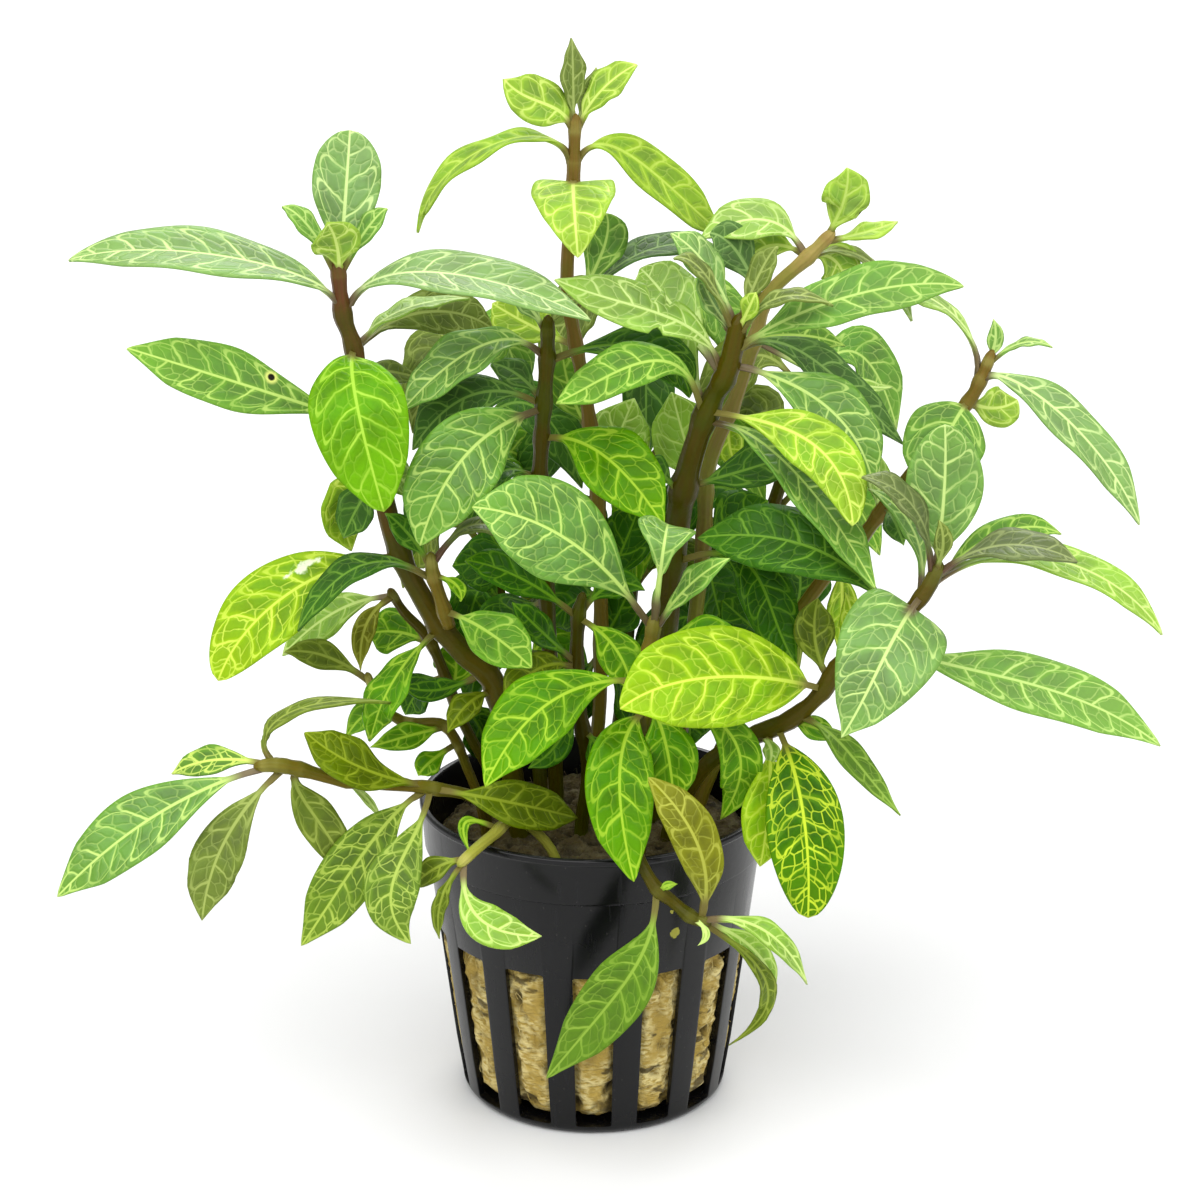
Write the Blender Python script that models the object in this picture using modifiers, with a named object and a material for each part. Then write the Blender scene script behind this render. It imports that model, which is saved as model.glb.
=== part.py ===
"""A bunch of net-veined hygrophila cuttings, rooted in mineral wool, in a slotted net pot.

Lengths are in metres, +Z is up, and the origin is the centre of the pot's underside. The pot and the
wool are turned shapes. Stems and leaves are set out in millimetres from where the photograph shows
them: each point is a pixel of the photograph with a depth, which is the point's Y.
"""

import math
from typing import NamedTuple

import bmesh
import bpy
from mathutils import Vector

MM = 0.001
FIT_GAP = 0.3 * MM

# The pot, in metres
POT_HEIGHT = 0.050
RIM_RADIUS = 0.0281
LIP_HEIGHT = 0.0009
LIP_STEP = 0.0003
COLLAR_FOOT_Z = 0.0424
COLLAR_FOOT_RADIUS = 0.0274
COLLAR_STEP = 0.0004
BASE_RADIUS = 0.0217
BASE_ROUND = 0.0018
WALL = 0.0009
FLOOR_THICKNESS = 0.0014
POT_STEPS = 42

# The slots in the pot's wall
SLOT_COUNT = 14
SLOT_FOOT_Z = 0.0016
SLOT_TOP_Z = 0.0290
SLOT_TOP_WIDTH = 0.0066
SLOT_FOOT_WIDTH = 0.0056

# The wool plug
WOOL_TOP_Z = 0.0450
WOOL_FOOT_Z = 0.0026
WOOL_WALL_GAP = 0.0003
WOOL_ROUND = 0.0026
WOOL_STEPS = 24
ROOT_DEPTH = 0.0110

# The view that the photograph was taken from
VIEW_PLACE = Vector((0.0010, -0.4220, 0.2150))
VIEW_PITCH = math.radians(17.4)
VIEW_FOCAL_PIXELS = 2800.0
VIEW_CENTRE_PIXEL = 600.0

# How a leaf's solid is made
LEAF_THICKNESS = 0.8
LEAF_SEGMENTS = 5
SMALL_LEAF_SEGMENTS = 4
INNER_LEAF_SEGMENTS = 3
TINY_LEAF_WIDTH = 6.1
LEAF_RING_SPREAD = 1.2
PETIOLE_SHARE = 0.10
PETIOLE_WIDTH = 1.1
# Where along a blade it is widest, and how steeply it narrows to its base and to its tip
BLADE_SHAPES = {
    "lance": (0.55, 1.30, 0.62),
    "oval": (0.52, 0.80, 0.52),
    "heart": (0.27, 0.42, 0.95),
    "blunt": (0.78, 0.80, 0.30),
}
STEM_SIDES_RESOLUTION = 1


class Stem(NamedTuple):
    """A shoot: where it is planted in the wool, and the points of its axis above it."""

    node: str
    foot: tuple | None
    path: list


class Leaf(NamedTuple):
    """A leaf: the pixel of its base, its midrib from there as pixels with depths, and its blade."""

    node: str
    stem: str
    base: tuple
    midrib: list
    width: float
    turn: float
    look: str
    shape: str = "lance"


# Axis points are (pixel x, pixel y, depth in mm, stem radius in mm); feet are (x, y) in mm.
STEMS = {
    "A": Stem("stem_tall_left", (-12, -3), [
        (497, 692, -6, 2.0), (465, 655, -7, 2.0), (440, 626, -8, 2.0), (418, 590, -9, 1.8),
        (400, 555, -10, 1.8), (388, 515, -11, 1.8), (370, 430, -12, 1.6), (354, 350, -12, 1.4),
        (343, 315, -12, 1.4), (338, 268, -12, 1.1)]),
    "B": Stem("stem_tall_centre", (-1, 9), [
        (600, 700, 9, 1.3), (599, 520, 7, 1.3), (588, 410, 5, 1.2), (575, 340, 4, 1.2),
        (567, 278, 3, 1.2), (573, 185, 1, 1.1), (575, 120, 0, 0.9)]),
    "C": Stem("stem_left_centre", (-6, 3), [
        (548, 620, 1, 1.4), (540, 500, -2, 1.4), (541, 450, -3, 1.3), (544, 400, -4, 1.3),
        (547, 360, -5, 1.3), (548, 322, -5, 1.0)]),
    "D": Stem("stem_thick_right", (9, 3), [
        (668, 600, 1, 2.3), (678, 520, -1, 2.3), (685, 482, -3, 2.2), (697, 440, -5, 2.0),
        (712, 400, -6, 1.9), (727, 372, -8, 1.7), (739, 322, -9, 1.3)]),
    "E": Stem("stem_upper_right", (13, 9), [
        (702, 560, 12, 1.4), (708, 470, 10, 1.4), (735, 400, 8, 1.3), (756, 335, 7, 1.3),
        (768, 295, 6, 1.2), (808, 257, 5, 1.2), (830, 235, 5, 0.9)]),
    "F": Stem("stem_right", (17, 5), [
        (750, 690, 9, 1.3), (815, 590, 6, 1.3), (862, 537, 3, 1.2), (888, 503, 1, 1.2),
        (930, 450, -2, 1.2), (968, 402, -4, 1.1), (980, 381, -4, 1.1), (991, 355, -4, 0.8)]),
    "G": Stem("stem_low_right", (12, -6), [
        (700, 772, -10, 1.5), (740, 742, -13, 1.5), (790, 720, -16, 1.4), (822, 692, -18, 1.4),
        (842, 662, -18, 1.3), (900, 620, -18, 1.3), (925, 592, -18, 1.2), (938, 568, -18, 1.0)]),
    "H": Stem("stem_front", (7, -12), [
        (645, 790, -16, 1.5), (648, 700, -20, 1.5), (650, 655, -22, 1.4), (654, 622, -23, 1.1)]),
    "I": Stem("stem_middle", (-2, -3), [
        (588, 770, -4, 1.3), (577, 690, -5, 1.3), (578, 622, -6, 1.2), (582, 598, -6, 0.9)]),
    "J": Stem("stem_side_left", None, [
        (449, 626, -11.7, 1.2), (441, 600, -13, 1.2), (433, 575, -14, 1.1), (431, 557, -14, 0.8)]),
    "K": Stem("stem_low_left", (-17, -7), [
        (478, 800, -12, 1.1), (430, 788, -18, 1.1), (380, 784, -21, 1.1), (340, 780, -24, 1.1),
        (299, 769, -26, 1.2), (276, 765, -27, 1.1), (260, 766, -27, 0.9)]),
    "L": Stem("stem_trailing_left", (-6, -16), [
        (518, 820, -17, 0.9), (492, 836, -22, 1.0), (475, 850, -26, 1.0), (461, 863, -28, 0.7)]),
    "M": Stem("stem_trailing_right", (5, -17), [
        (618, 828, -20, 1.0), (632, 845, -27, 1.1), (646, 872, -30, 1.1), (658, 890, -31, 1.1),
        (672, 901, -31, 1.1), (690, 916, -32, 1.1), (706, 922, -32, 0.8)]),
    "P": Stem("stem_bent_left", (-18, 1), [
        (468, 770, 1, 0.9), (445, 726, -1, 0.9), (404, 722, -2, 0.9), (378, 702, -3, 0.8),
        (368, 676, -3, 0.6)]),
    "Q": Stem("stem_small_left", (-15, 8), [
        (462, 720, 8, 1.0), (432, 645, 6, 1.0), (404, 612, 4, 0.9), (391, 592, 2, 0.7)]),
    "R": Stem("stem_back_left", (-9, 17), [
        (530, 700, 22, 1.4), (500, 600, 26, 1.4), (478, 500, 28, 1.3), (470, 420, 29, 1.2),
        (468, 370, 29, 1.0)]),
    "S": Stem("stem_back_centre", (3, 19), [
        (622, 700, 24, 1.4), (630, 600, 28, 1.4), (640, 480, 31, 1.3), (646, 390, 32, 1.1),
        (648, 330, 32, 0.9)]),
    "T": Stem("stem_back_right", (14, 15), [
        (700, 700, 22, 1.4), (740, 600, 26, 1.4), (775, 500, 28, 1.3), (796, 430, 28, 1.1),
        (803, 385, 28, 0.9)]),
}

# Blades, from each shoot's crown down. The turn is the angle, in degrees, by which the upper face is
# rolled about the midrib from facing the view towards the sky, or towards the right of an upright leaf.
LEAVES = [
    Leaf("leaf_left_long", "A", (335, 308), [(290, 272, -15), (180, 251, -17), (68, 260, -18)], 12, 58, "blue"),
    Leaf("leaf_left_across", "A", (349, 313), [(395, 274, -14), (490, 281, -16), (591, 320, -17)], 12, 58, "blue"),
    Leaf("leaf_left_upright", "A", (338, 272), [(346, 190, -9), (350, 130, -6)], 10.2, 0, "blue", "oval"),
    Leaf("", "A", (338, 276), [(337, 246, -15), (328, 224, -19)], 7.5, 0, "lime"),
    Leaf("", "A", (336, 272), [(308, 226, -13), (282, 206, -13)], 5, 45, "olive"),
    Leaf("", "A", (340, 272), [(367, 229, -13), (387, 208, -13)], 5, 45, "olive"),
    Leaf("leaf_left_spotted", "A", (366, 425), [(248, 386, -17), (127, 348, -21)], 10.3, 30, "fresh"),
    Leaf("leaf_left_facing", "A", (350, 350), [(356, 400, -24), (384, 512, -27)], 14.3, 0, "lime", "oval"),
    Leaf("", "A", (355, 348), [(402, 310, -5), (470, 298, 3)], 6, 66, "pale"),
    Leaf("", "A", (356, 352), [(400, 318, 1), (450, 312, 4), (494, 330, 7)], 7.5, 20, "olive"),
    Leaf("leaf_left_drooping", "A", (392, 557), [(330, 571, -14), (263, 614, -16), (218, 681, -18)], 12.5, 25, "lime"),
    Leaf("", "A", (437, 628), [(394, 680, -15), (370, 742, -18)], 8, 45, "fresh"),
    Leaf("", "A", (376, 480), [(360, 503, -9), (343, 538, -9)], 7, 30, "dark"),
    Leaf("", "A", (374, 470), [(345, 500, -4), (352, 551, -3)], 8, 30, "lime"),
    Leaf("", "A", (376, 470), [(398, 476, -4), (418, 500, -2)], 6, 30, "pale"),
    Leaf("", "A", (357, 372), [(388, 371, -3), (420, 378, 3)], 4.5, 30, "olive"),
    Leaf("", "A", (480, 676), [(438, 690, -2), (402, 685, 0)], 5, 30, "dark"),
    Leaf("", "A", (495, 690), [(468, 704, -11), (447, 733, -13)], 6, 30, "olive"),
    Leaf("", "B", (575, 128), [(573, 82, -1), (572, 38, -1)], 6, 45, "olive"),
    Leaf("", "B", (577, 130), [(600, 92, 1), (637, 64, 1)], 6.5, 45, "lime"),
    Leaf("", "B", (577, 128), [(588, 97, 3), (597, 68, 3)], 4.5, 30, "olive"),
    Leaf("", "B", (573, 130), [(556, 109, -2), (530, 98, -4), (504, 79, -6)], 7.5, 20, "lime", "oval"),
    Leaf("leaf_top_facing", "B", (573, 180), [(574, 204, -14), (578, 258, -17)], 12.5, 0, "lime", "heart"),
    Leaf("leaf_top_left", "B", (570, 166), [(530, 136, -1), (459, 164, -1), (419, 233, -2)], 7.5, 68, "lime"),
    Leaf("leaf_top_right", "B", (577, 165), [(614, 147, 2), (669, 186, 6), (725, 236, 13)], 8.5, 42, "lime"),
    Leaf("", "B", (573, 310), [(603, 250, 8), (606, 213, 9)], 7, 20, "fresh"),
    Leaf("", "B", (575, 306), [(646, 251, 12), (722, 250, 20)], 8, 62, "dark"),
    Leaf("", "B", (578, 345), [(530, 325, 10), (492, 303, 14)], 9, 20, "lime"),
    Leaf("leaf_centre_arching", "C", (545, 358), [(500, 340, -8), (448, 366, -10), (403, 410, -12)], 9, 40, "blue"),
    Leaf("leaf_centre_dark", "C", (549, 360), [(610, 345, -6), (663, 356, -7), (690, 398, -7)], 10, 45, "dark"),
    Leaf("leaf_centre_facing", "C", (541, 410), [(466, 455, -17), (420, 546, -21)], 12.5, 0, "blue", "oval"),
    Leaf("", "C", (543, 405), [(472, 395, -7), (412, 450, -9)], 9, 30, "dark"),
    Leaf("", "C", (543, 402), [(518, 375, -2), (492, 363, 0)], 6, 30, "dark"),
    Leaf("leaf_centre_right", "C", (542, 436), [(603, 455, -9), (664, 526, -13)], 11.5, 20, "fresh"),
    Leaf("", "C", (541, 480), [(498, 474, -5), (468, 528, -7)], 7, 50, "dark"),
    Leaf("", "C", (547, 330), [(528, 306, -5), (510, 296, -5)], 4, 30, "blue"),
    Leaf("", "C", (549, 330), [(562, 306, -5), (586, 298, -5)], 4, 30, "olive"),
    Leaf("leaf_right_long", "D", (733, 352), [(790, 318, -12), (875, 290, -14), (964, 286, -15)], 9.3, 35, "fresh"),
    Leaf("leaf_right_bitten", "D", (724, 375), [(690, 328, -10), (625, 303, -11), (555, 279, -12)], 8.5, 35, "pale"),
    Leaf("", "D", (737, 325), [(708, 268, -10), (671, 233, -10)], 7, 45, "blue"),
    Leaf("", "D", (736, 328), [(703, 272, -13), (673, 258, -14)], 5, 60, "olive"),
    Leaf("", "D", (737, 335), [(712, 302, -8), (699, 272, -8)], 6, 50, "blue"),
    Leaf("", "D", (739, 326), [(759, 275, -7), (777, 246, -7)], 6, 40, "olive"),
    Leaf("", "D", (739, 330), [(749, 308, -12), (756, 292, -13)], 4, 30, "lime"),
    Leaf("", "D", (739, 335), [(778, 298, -14), (834, 305, -15)], 5, 60, "olive"),
    Leaf("leaf_right_hanging", "D", (731, 366), [(795, 386, -11), (845, 425, -13), (873, 484, -14)], 10.5, 25, "blue"),
    Leaf("", "D", (733, 352), [(787, 345, -5), (843, 384, -6), (904, 444, -6)], 7.8, 45, "dark"),
    Leaf("", "D", (735, 345), [(795, 335, 0), (846, 346, 4)], 6, 30, "fresh"),
    Leaf("leaf_right_bright", "D", (709, 410), [(775, 425, -17), (828, 458, -21), (853, 526, -25)], 9.5, 25, "lime"),
    Leaf("leaf_right_narrow", "D", (706, 420), [(765, 445, -13), (825, 508, -18), (876, 590, -22.5)], 9, 45, "blue"),
    Leaf("", "D", (685, 484), [(745, 470, -3), (800, 452, -3)], 8, 35, "dark"),
    Leaf("", "D", (672, 560), [(742, 560, -9), (770, 605, -12), (797, 666, -15)], 8.5, 10, "dark"),
    Leaf("", "D", (703, 415), [(668, 362, -13), (612, 374, -16), (556, 403, -18)], 8, 30, "fresh"),
    Leaf("", "D", (683, 490), [(658, 470, -7), (648, 462, -8)], 5, 20, "dark"),
    Leaf("", "D", (709, 412), [(678, 350, -3.4), (645, 325, -2)], 8, 25, "pale"),
    Leaf("", "D", (724, 380), [(672, 305, 4), (640, 268, 8)], 11, 20, "pale"),
    Leaf("", "E", (829, 240), [(843, 203, 4), (848, 168, 3)], 8, 25, "olive"),
    Leaf("", "E", (829, 240), [(866, 232, 6), (898, 221, 8)], 5, 50, "olive"),
    Leaf("", "E", (806, 258), [(765, 220, 6), (700, 238, 5)], 8.3, 40, "pale"),
    Leaf("", "E", (806, 258), [(768, 246, 10), (742, 272, 12)], 7, 20, "lime"),
    Leaf("", "E", (808, 258), [(834, 260, 9), (850, 292, 10)], 7, 10, "lime"),
    Leaf("", "E", (808, 258), [(850, 252, 9), (890, 280, 13)], 4, 60, "olive"),
    Leaf("", "E", (765, 305), [(737, 252, 4), (710, 233, 3)], 7, 20, "dark"),
    Leaf("", "E", (757, 340), [(835, 378, 13), (893, 387, 16)], 4, 40, "pale"),
    Leaf("", "E", (730, 412), [(729, 440, 14), (737, 468, 15)], 6, 20, "lime"),
    Leaf("", "F", (980, 378), [(964, 326, -3), (928, 297, -2), (906, 294, -1), (913, 321, -1)], 7, 66, "pale"),
    Leaf("", "F", (989, 362), [(995, 342, -4), (994, 319, -4)], 3.2, 20, "olive"),
    Leaf("", "F", (989, 362), [(1022, 343, -5), (1053, 347, -6)], 3, 60, "olive"),
    Leaf("leaf_far_right", "F", (981, 381), [(1020, 384, -7), (1086, 439, -10), (1140, 525, -12)], 7.8, 40, "blue"),
    Leaf("leaf_right_behind", "F", (968, 402), [(949, 432, -9), (920, 492, -12)], 12.5, 0, "fresh", "oval"),
    Leaf("", "F", (968, 402), [(995, 408, 1), (1018, 400, 4)], 6.5, 10, "lime", "oval"),
    Leaf("", "F", (886, 505), [(895, 522, -5), (904, 546, -6)], 5, 10, "dark"),
    Leaf("", "F", (878, 515), [(879, 485, 6), (879, 452, 8)], 5, 20, "pale"),
    Leaf("", "F", (862, 537), [(858, 562, 1), (868, 588, -1)], 5, 20, "fresh"),
    Leaf("leaf_low_upright", "G", (936, 570), [(944, 495, -17), (945, 425, -17)], 11.6, 0, "blue", "oval"),
    Leaf("", "G", (937, 572), [(1005, 545, -21), (1078, 562, -23)], 7.5, 52, "purple"),
    Leaf("leaf_low_facing", "G", (922, 596), [(893, 640, -29), (868, 690, -33), (841, 738, -34)], 15.5, 0, "blue", "heart"),
    Leaf("leaf_low_front", "G", (822, 690), [(765, 678, -26), (690, 680, -32), (620, 709, -36)], 15.2, 5, "lime", "oval"),
    Leaf("", "G", (934, 574), [(914, 508, -22), (862, 476, -24)], 7, 60, "purple"),
    Leaf("", "G", (922, 592), [(920, 550, -13), (903, 514, -11), (868, 488, -9)], 6, 50, "blue"),
    Leaf("", "G", (937, 572), [(943, 545, -21), (939, 520, -22)], 3.5, 20, "olive"),
    Leaf("leaf_low_right", "G", (930, 584), [(1008, 555, -14), (1095, 574, -17), (1163, 635, -19)], 7, 48, "pale"),
    Leaf("", "G", (932, 580), [(1004, 532, -12.2), (1062, 534, -10)], 6, 35, "fresh", "oval"),
    Leaf("leaf_low_long", "G", (878, 636), [(960, 667, -19), (1060, 693, -23), (1161, 746, -26)], 10.2, 30, "fresh"),
    Leaf("leaf_low_hanging", "G", (800, 714), [(833, 736, -22), (863, 770, -26), (901, 815, -30)], 5.8, 35, "fresh"),
    Leaf("", "G", (790, 720), [(812, 727, -17), (840, 738, -17)], 5, 30, "fresh"),
    Leaf("leaf_low_net", "G", (776, 726), [(803, 812, -27), (808, 918, -30)], 11.8, 0, "net", "oval"),
    Leaf("", "G", (760, 733), [(771, 749, -18.4), (768, 766, -19)], 3.2, 10, "pale"),
    Leaf("", "G", (770, 728), [(769, 800, -23), (760, 867, -25.5)], 8.6, 20, "lime"),
    Leaf("", "G", (830, 678), [(815, 640, -15), (818, 598, -13)], 6.5, 10, "olive"),
    Leaf("", "G", (838, 668), [(852, 630, -13), (845, 592, -10)], 5, 20, "lime"),
    Leaf("", "G", (896, 622), [(845, 565, -20), (775, 538, -17), (697, 538, -11)], 12, 30, "dark"),
    Leaf("leaf_front_upright", "H", (653, 620), [(663, 552, -31), (668, 524, -23)], 8.6, 0, "blue", "blunt"),
    Leaf("leaf_front_left", "H", (651, 628), [(571, 542, -30), (472, 507, -33)], 14.6, 15, "blue"),
    Leaf("", "H", (655, 628), [(690, 585, -27), (730, 558, -28)], 6, 45, "blue"),
    Leaf("", "H", (650, 650), [(706, 630, -21), (742, 656, -22)], 6, 30, "fresh"),
    Leaf("leaf_front_hanging", "H", (648, 705), [(620, 768, -27), (634, 882, -33)], 10.4, 0, "fresh", "oval"),
    Leaf("", "H", (648, 700), [(666, 745, -24.4), (674, 806, -25)], 9, 0, "fresh"),
    Leaf("leaf_front_low", "H", (649, 682), [(552, 701, -26), (485, 787, -31)], 11.5, 20, "fresh"),
    Leaf("", "H", (649, 690), [(735, 742, -22), (720, 820, -19)], 7, 20, "fresh"),
    Leaf("", "I", (578, 616), [(520, 578, -11), (465, 560, -13)], 7, 35, "dark"),
    Leaf("", "I", (577, 662), [(540, 630, -13), (512, 602, -15)], 6, 30, "dark"),
    Leaf("", "I", (578, 618), [(615, 648, -14), (632, 692, -17)], 7, 15, "fresh"),
    Leaf("", "I", (577, 668), [(540, 668, -14), (504, 702, -17)], 7, 15, "olive"),
    Leaf("", "I", (577, 700), [(558, 742, -9), (528, 768, -11)], 6, 15, "dark"),
    Leaf("", "I", (581, 730), [(600, 752, -8), (604, 784, -10)], 6, 15, "dark"),
    Leaf("", "I", (578, 612), [(612, 585, -5), (645, 590, -6)], 6, 20, "dark"),
    Leaf("leaf_side_net", "J", (444, 610), [(488, 632, -19), (532, 668, -22)], 8.6, 20, "fresh"),
    Leaf("", "J", (434, 578), [(360, 566, -18), (297, 631, -21)], 6.5, 50, "dark"),
    Leaf("", "J", (432, 562), [(482, 524, -16), (537, 566, -17)], 5.5, 55, "purple"),
    Leaf("", "J", (432, 565), [(409, 535, -15), (386, 513, -16)], 5, 20, "dark"),
    Leaf("", "J", (434, 575), [(456, 585, -16), (461, 602, -17)], 3, 30, "fresh"),
    Leaf("leaf_trailing_long", "K", (266, 766), [(156, 815, -30), (57, 897, -32)], 10.5, 25, "blue"),
    Leaf("", "K", (268, 766), [(214, 760, -25), (171, 774, -24)], 6, 30, "net"),
    Leaf("", "K", (284, 767), [(226, 839, -30), (202, 921, -33)], 8, 15, "olive"),
    Leaf("", "K", (299, 769), [(300, 794, -25), (325, 831, -25), (350, 876, -24)], 6.3, 10, "olive"),
    Leaf("", "K", (276, 765), [(268, 731, -24.9), (308, 706, -22.5), (392, 702, -18)], 5, 62, "olive"),
    Leaf("leaf_rim_left", "K", (425, 788), [(385, 825, -24), (345, 880, -28), (301, 946, -31)], 9.2, 10, "net"),
    Leaf("leaf_rim_curled", "K", (428, 788), [(409, 845, -29), (391, 893, -34), (411, 944, -35)], 8.3, 0, "net"),
    Leaf("leaf_rim_olive", "K", (428, 788), [(362, 768, -26), (305, 732, -28)], 8.5, 35, "olive"),
    Leaf("", "K", (436, 789), [(508, 802, -20), (578, 818, -13)], 7.5, 15, "olive"),
    Leaf("", "K", (345, 781), [(365, 797, -19), (382, 820, -20)], 1.6, 10, "pale"),
    Leaf("", "L", (463, 861), [(479, 918, -31), (542, 936, -32)], 6.2, 10, "pale"),
    Leaf("", "L", (463, 861), [(441, 900, -30.4), (440, 939, -30.4)], 3.4, 40, "olive"),
    Leaf("", "L", (464, 860), [(436, 868, -28), (408, 890, -27)], 5, 30, "olive"),
    Leaf("", "L", (500, 831), [(466, 822, -22), (470, 852, -25)], 2.2, 20, "fresh"),
    Leaf("leaf_trailing_low", "M", (658, 890), [(644, 950, -35), (608, 1005, -35), (546, 1079, -31)], 9.5, 5, "fresh"),
    Leaf("leaf_trailing_brown", "M", (700, 920), [(699, 848, -37), (648, 777, -33)], 7.2, 15, "brown", "oval"),
    Leaf("", "M", (702, 921), [(765, 931, -34), (808, 985, -31)], 5, 35, "pale"),
    Leaf("", "M", (702, 921), [(750, 958, -31), (768, 1000, -29), (728, 1045, -26)], 4, 40, "olive"),
    Leaf("", "M", (702, 921), [(752, 948, -29), (776, 991, -26)], 5, 20, "pale"),
    Leaf("", "M", (690, 916), [(706, 932, -34), (697, 946, -34)], 1.4, 0, "pale"),
    Leaf("", "M", (660, 892), [(666, 886, -33), (678, 884, -33)], 1.6, 10, "fresh"),
    Leaf("", "P", (370, 680), [(325, 656, -3), (284, 652, -4)], 5.8, 20, "olive"),
    Leaf("", "P", (445, 727), [(412, 735, -5), (370, 747, -7)], 5.5, 20, "fresh"),
    Leaf("", "P", (408, 722), [(372, 712, 1), (345, 740, 3)], 5.5, 20, "fresh"),
    Leaf("", "P", (455, 745), [(430, 762, -4), (418, 776, -5)], 5, 10, "fresh"),
    Leaf("", "Q", (393, 595), [(335, 612, 4), (282, 656, 4)], 7, 30, "pale"),
    Leaf("", "Q", (392, 595), [(366, 625, -2), (361, 671, -3)], 4.5, 20, "brown"),
    Leaf("", "Q", (430, 643), [(398, 632, 8), (368, 634, 10)], 8, 20, "fresh"),
]

# Leaves inside the bush, behind those above, which the photograph shows in shadow
INNER_LEAVES = [
    Leaf("", "B", (599, 590), [(622, 550, 11), (640, 505, 12)], 10, 30, "dark"),
    Leaf("", "B", (599, 590), [(575, 600, 12), (548, 625, 14)], 10, 30, "dark"),
    Leaf("", "B", (600, 660), [(630, 690, 13), (655, 735, 14)], 10, 30, "dark"),
    Leaf("", "B", (600, 660), [(578, 690, 14), (565, 735, 15)], 9, 30, "dark"),
    Leaf("", "E", (703, 540), [(735, 520, 16), (768, 500, 18)], 9, 30, "dark"),
    Leaf("", "E", (703, 540), [(712, 582, 17), (722, 622, 18)], 10, 30, "dark"),
    Leaf("", "E", (699, 660), [(690, 700, 14), (690, 748, 14)], 10, 30, "dark"),
    Leaf("", "F", (790, 628), [(800, 590, 12), (795, 550, 14)], 9, 30, "dark"),
    Leaf("", "F", (775, 650), [(750, 625, 14), (722, 600, 16)], 9, 30, "dark"),
    Leaf("", "C", (545, 580), [(500, 564, 5), (452, 566, 7)], 11, 30, "dark"),
    Leaf("", "C", (546, 600), [(510, 620, 8), (480, 650, 10)], 9, 30, "dark"),
    Leaf("", "Q", (455, 705), [(478, 725, 10), (490, 765, 11)], 8, 30, "dark"),
    Leaf("", "Q", (445, 675), [(420, 690, 10), (405, 715, 11)], 7, 30, "dark"),
    Leaf("", "B", (597, 500), [(612, 455, 14), (634, 398, 18)], 10, 20, "pale"),
    Leaf("", "E", (707, 490), [(688, 450, 14), (672, 392, 16)], 10, 20, "pale"),
    Leaf("", "B", (599, 565), [(580, 530, 12), (570, 488, 14)], 9, 20, "dark"),
    Leaf("", "B", (599, 640), [(615, 620, 11), (630, 588, 12)], 8, 20, "dark"),
    Leaf("", "B", (590, 430), [(572, 396, 9), (562, 352, 12)], 8, 20, "fresh"),
    Leaf("", "Q", (450, 690), [(456, 668, 9), (452, 636, 10)], 8, 20, "fresh"),
    Leaf("", "F", (838, 563), [(842, 600, 9), (838, 650, 10)], 6, 20, "lime"),
]

# Opposite pairs on the shoots at the back, each turned a quarter from the last, from the crown down:
# how many, their spacing as a share of the shoot's length, and the first pair's angle in degrees
BACK_PAIRS = {"R": (6, 0.125, 60.0), "S": (5, 0.125, 0.0), "T": (5, 0.14, 20.0)}
BACK_LEAF_LENGTH = 23.0
BACK_LEAF_GROWTH = 3.5
BACK_LEAF_RISE = 5.0
BACK_LEAF_DROP = 9.0
BACK_LEAF_WIDTH = 10.5
BACK_LEAF_NARROW = 0.6

FOLD = math.radians(10)

LOOKS = {
    "blue": (0.130, 0.330, 0.150),
    "lime": (0.330, 0.620, 0.020),
    "fresh": (0.090, 0.350, 0.020),
    "dark": (0.040, 0.170, 0.015),
    "olive": (0.190, 0.270, 0.025),
    "pale": (0.300, 0.480, 0.130),
    "net": (0.200, 0.440, 0.020),
    "purple": (0.090, 0.100, 0.050),
    "brown": (0.230, 0.180, 0.025),
}


# Materials


def principled(name, colour, roughness):
    """A Principled material, which none of this plant's or pot's surfaces has metallic."""
    material = bpy.data.materials.get(name)
    if material:
        return material
    material = bpy.data.materials.new(name)
    material.use_nodes = True
    shader = material.node_tree.nodes["Principled BSDF"]
    shader.inputs["Base Color"].default_value = (*colour, 1.0)
    shader.inputs["Roughness"].default_value = roughness
    shader.inputs["Metallic"].default_value = 0.0
    return material


def give_material(thing, name, colour, roughness):
    """Give an object its one material."""
    thing.data.materials.clear()
    thing.data.materials.append(principled(name, colour, roughness))


# Solids


def new_object(name, data, collection):
    """An object of this data in a collection."""
    thing = bpy.data.objects.new(name, data)
    collection.objects.link(thing)
    return thing


def mesh_of(thing):
    """The evaluated mesh of an object, in world space, with its loose caps welded."""
    bpy.context.view_layer.update()
    graph = bpy.context.evaluated_depsgraph_get()
    mesh = bpy.data.meshes.new_from_object(thing.evaluated_get(graph))
    mesh.transform(thing.matrix_world)
    soft = bmesh.new()
    soft.from_mesh(mesh)
    bmesh.ops.remove_doubles(soft, verts=soft.verts, dist=0.00001)
    bmesh.ops.recalc_face_normals(soft, faces=soft.faces)
    soft.to_mesh(mesh)
    soft.free()
    return mesh


def bake(thing):
    """Replace an object's data by its evaluated mesh."""
    name = thing.name
    collection = thing.users_collection[0]
    mesh = mesh_of(thing)
    bpy.data.objects.remove(thing)
    return new_object(name, mesh, collection)


def boolean(target, tool, operation):
    """Cut or join an object with another one, and remove that one."""
    modifier = target.modifiers.new(operation.title(), "BOOLEAN")
    modifier.operation = operation
    modifier.solver = "EXACT"
    modifier.object = tool
    bpy.context.view_layer.update()
    graph = bpy.context.evaluated_depsgraph_get()
    mesh = bpy.data.meshes.new_from_object(target.evaluated_get(graph))
    target.modifiers.clear()
    target.data = mesh
    bpy.data.objects.remove(tool)


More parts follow.
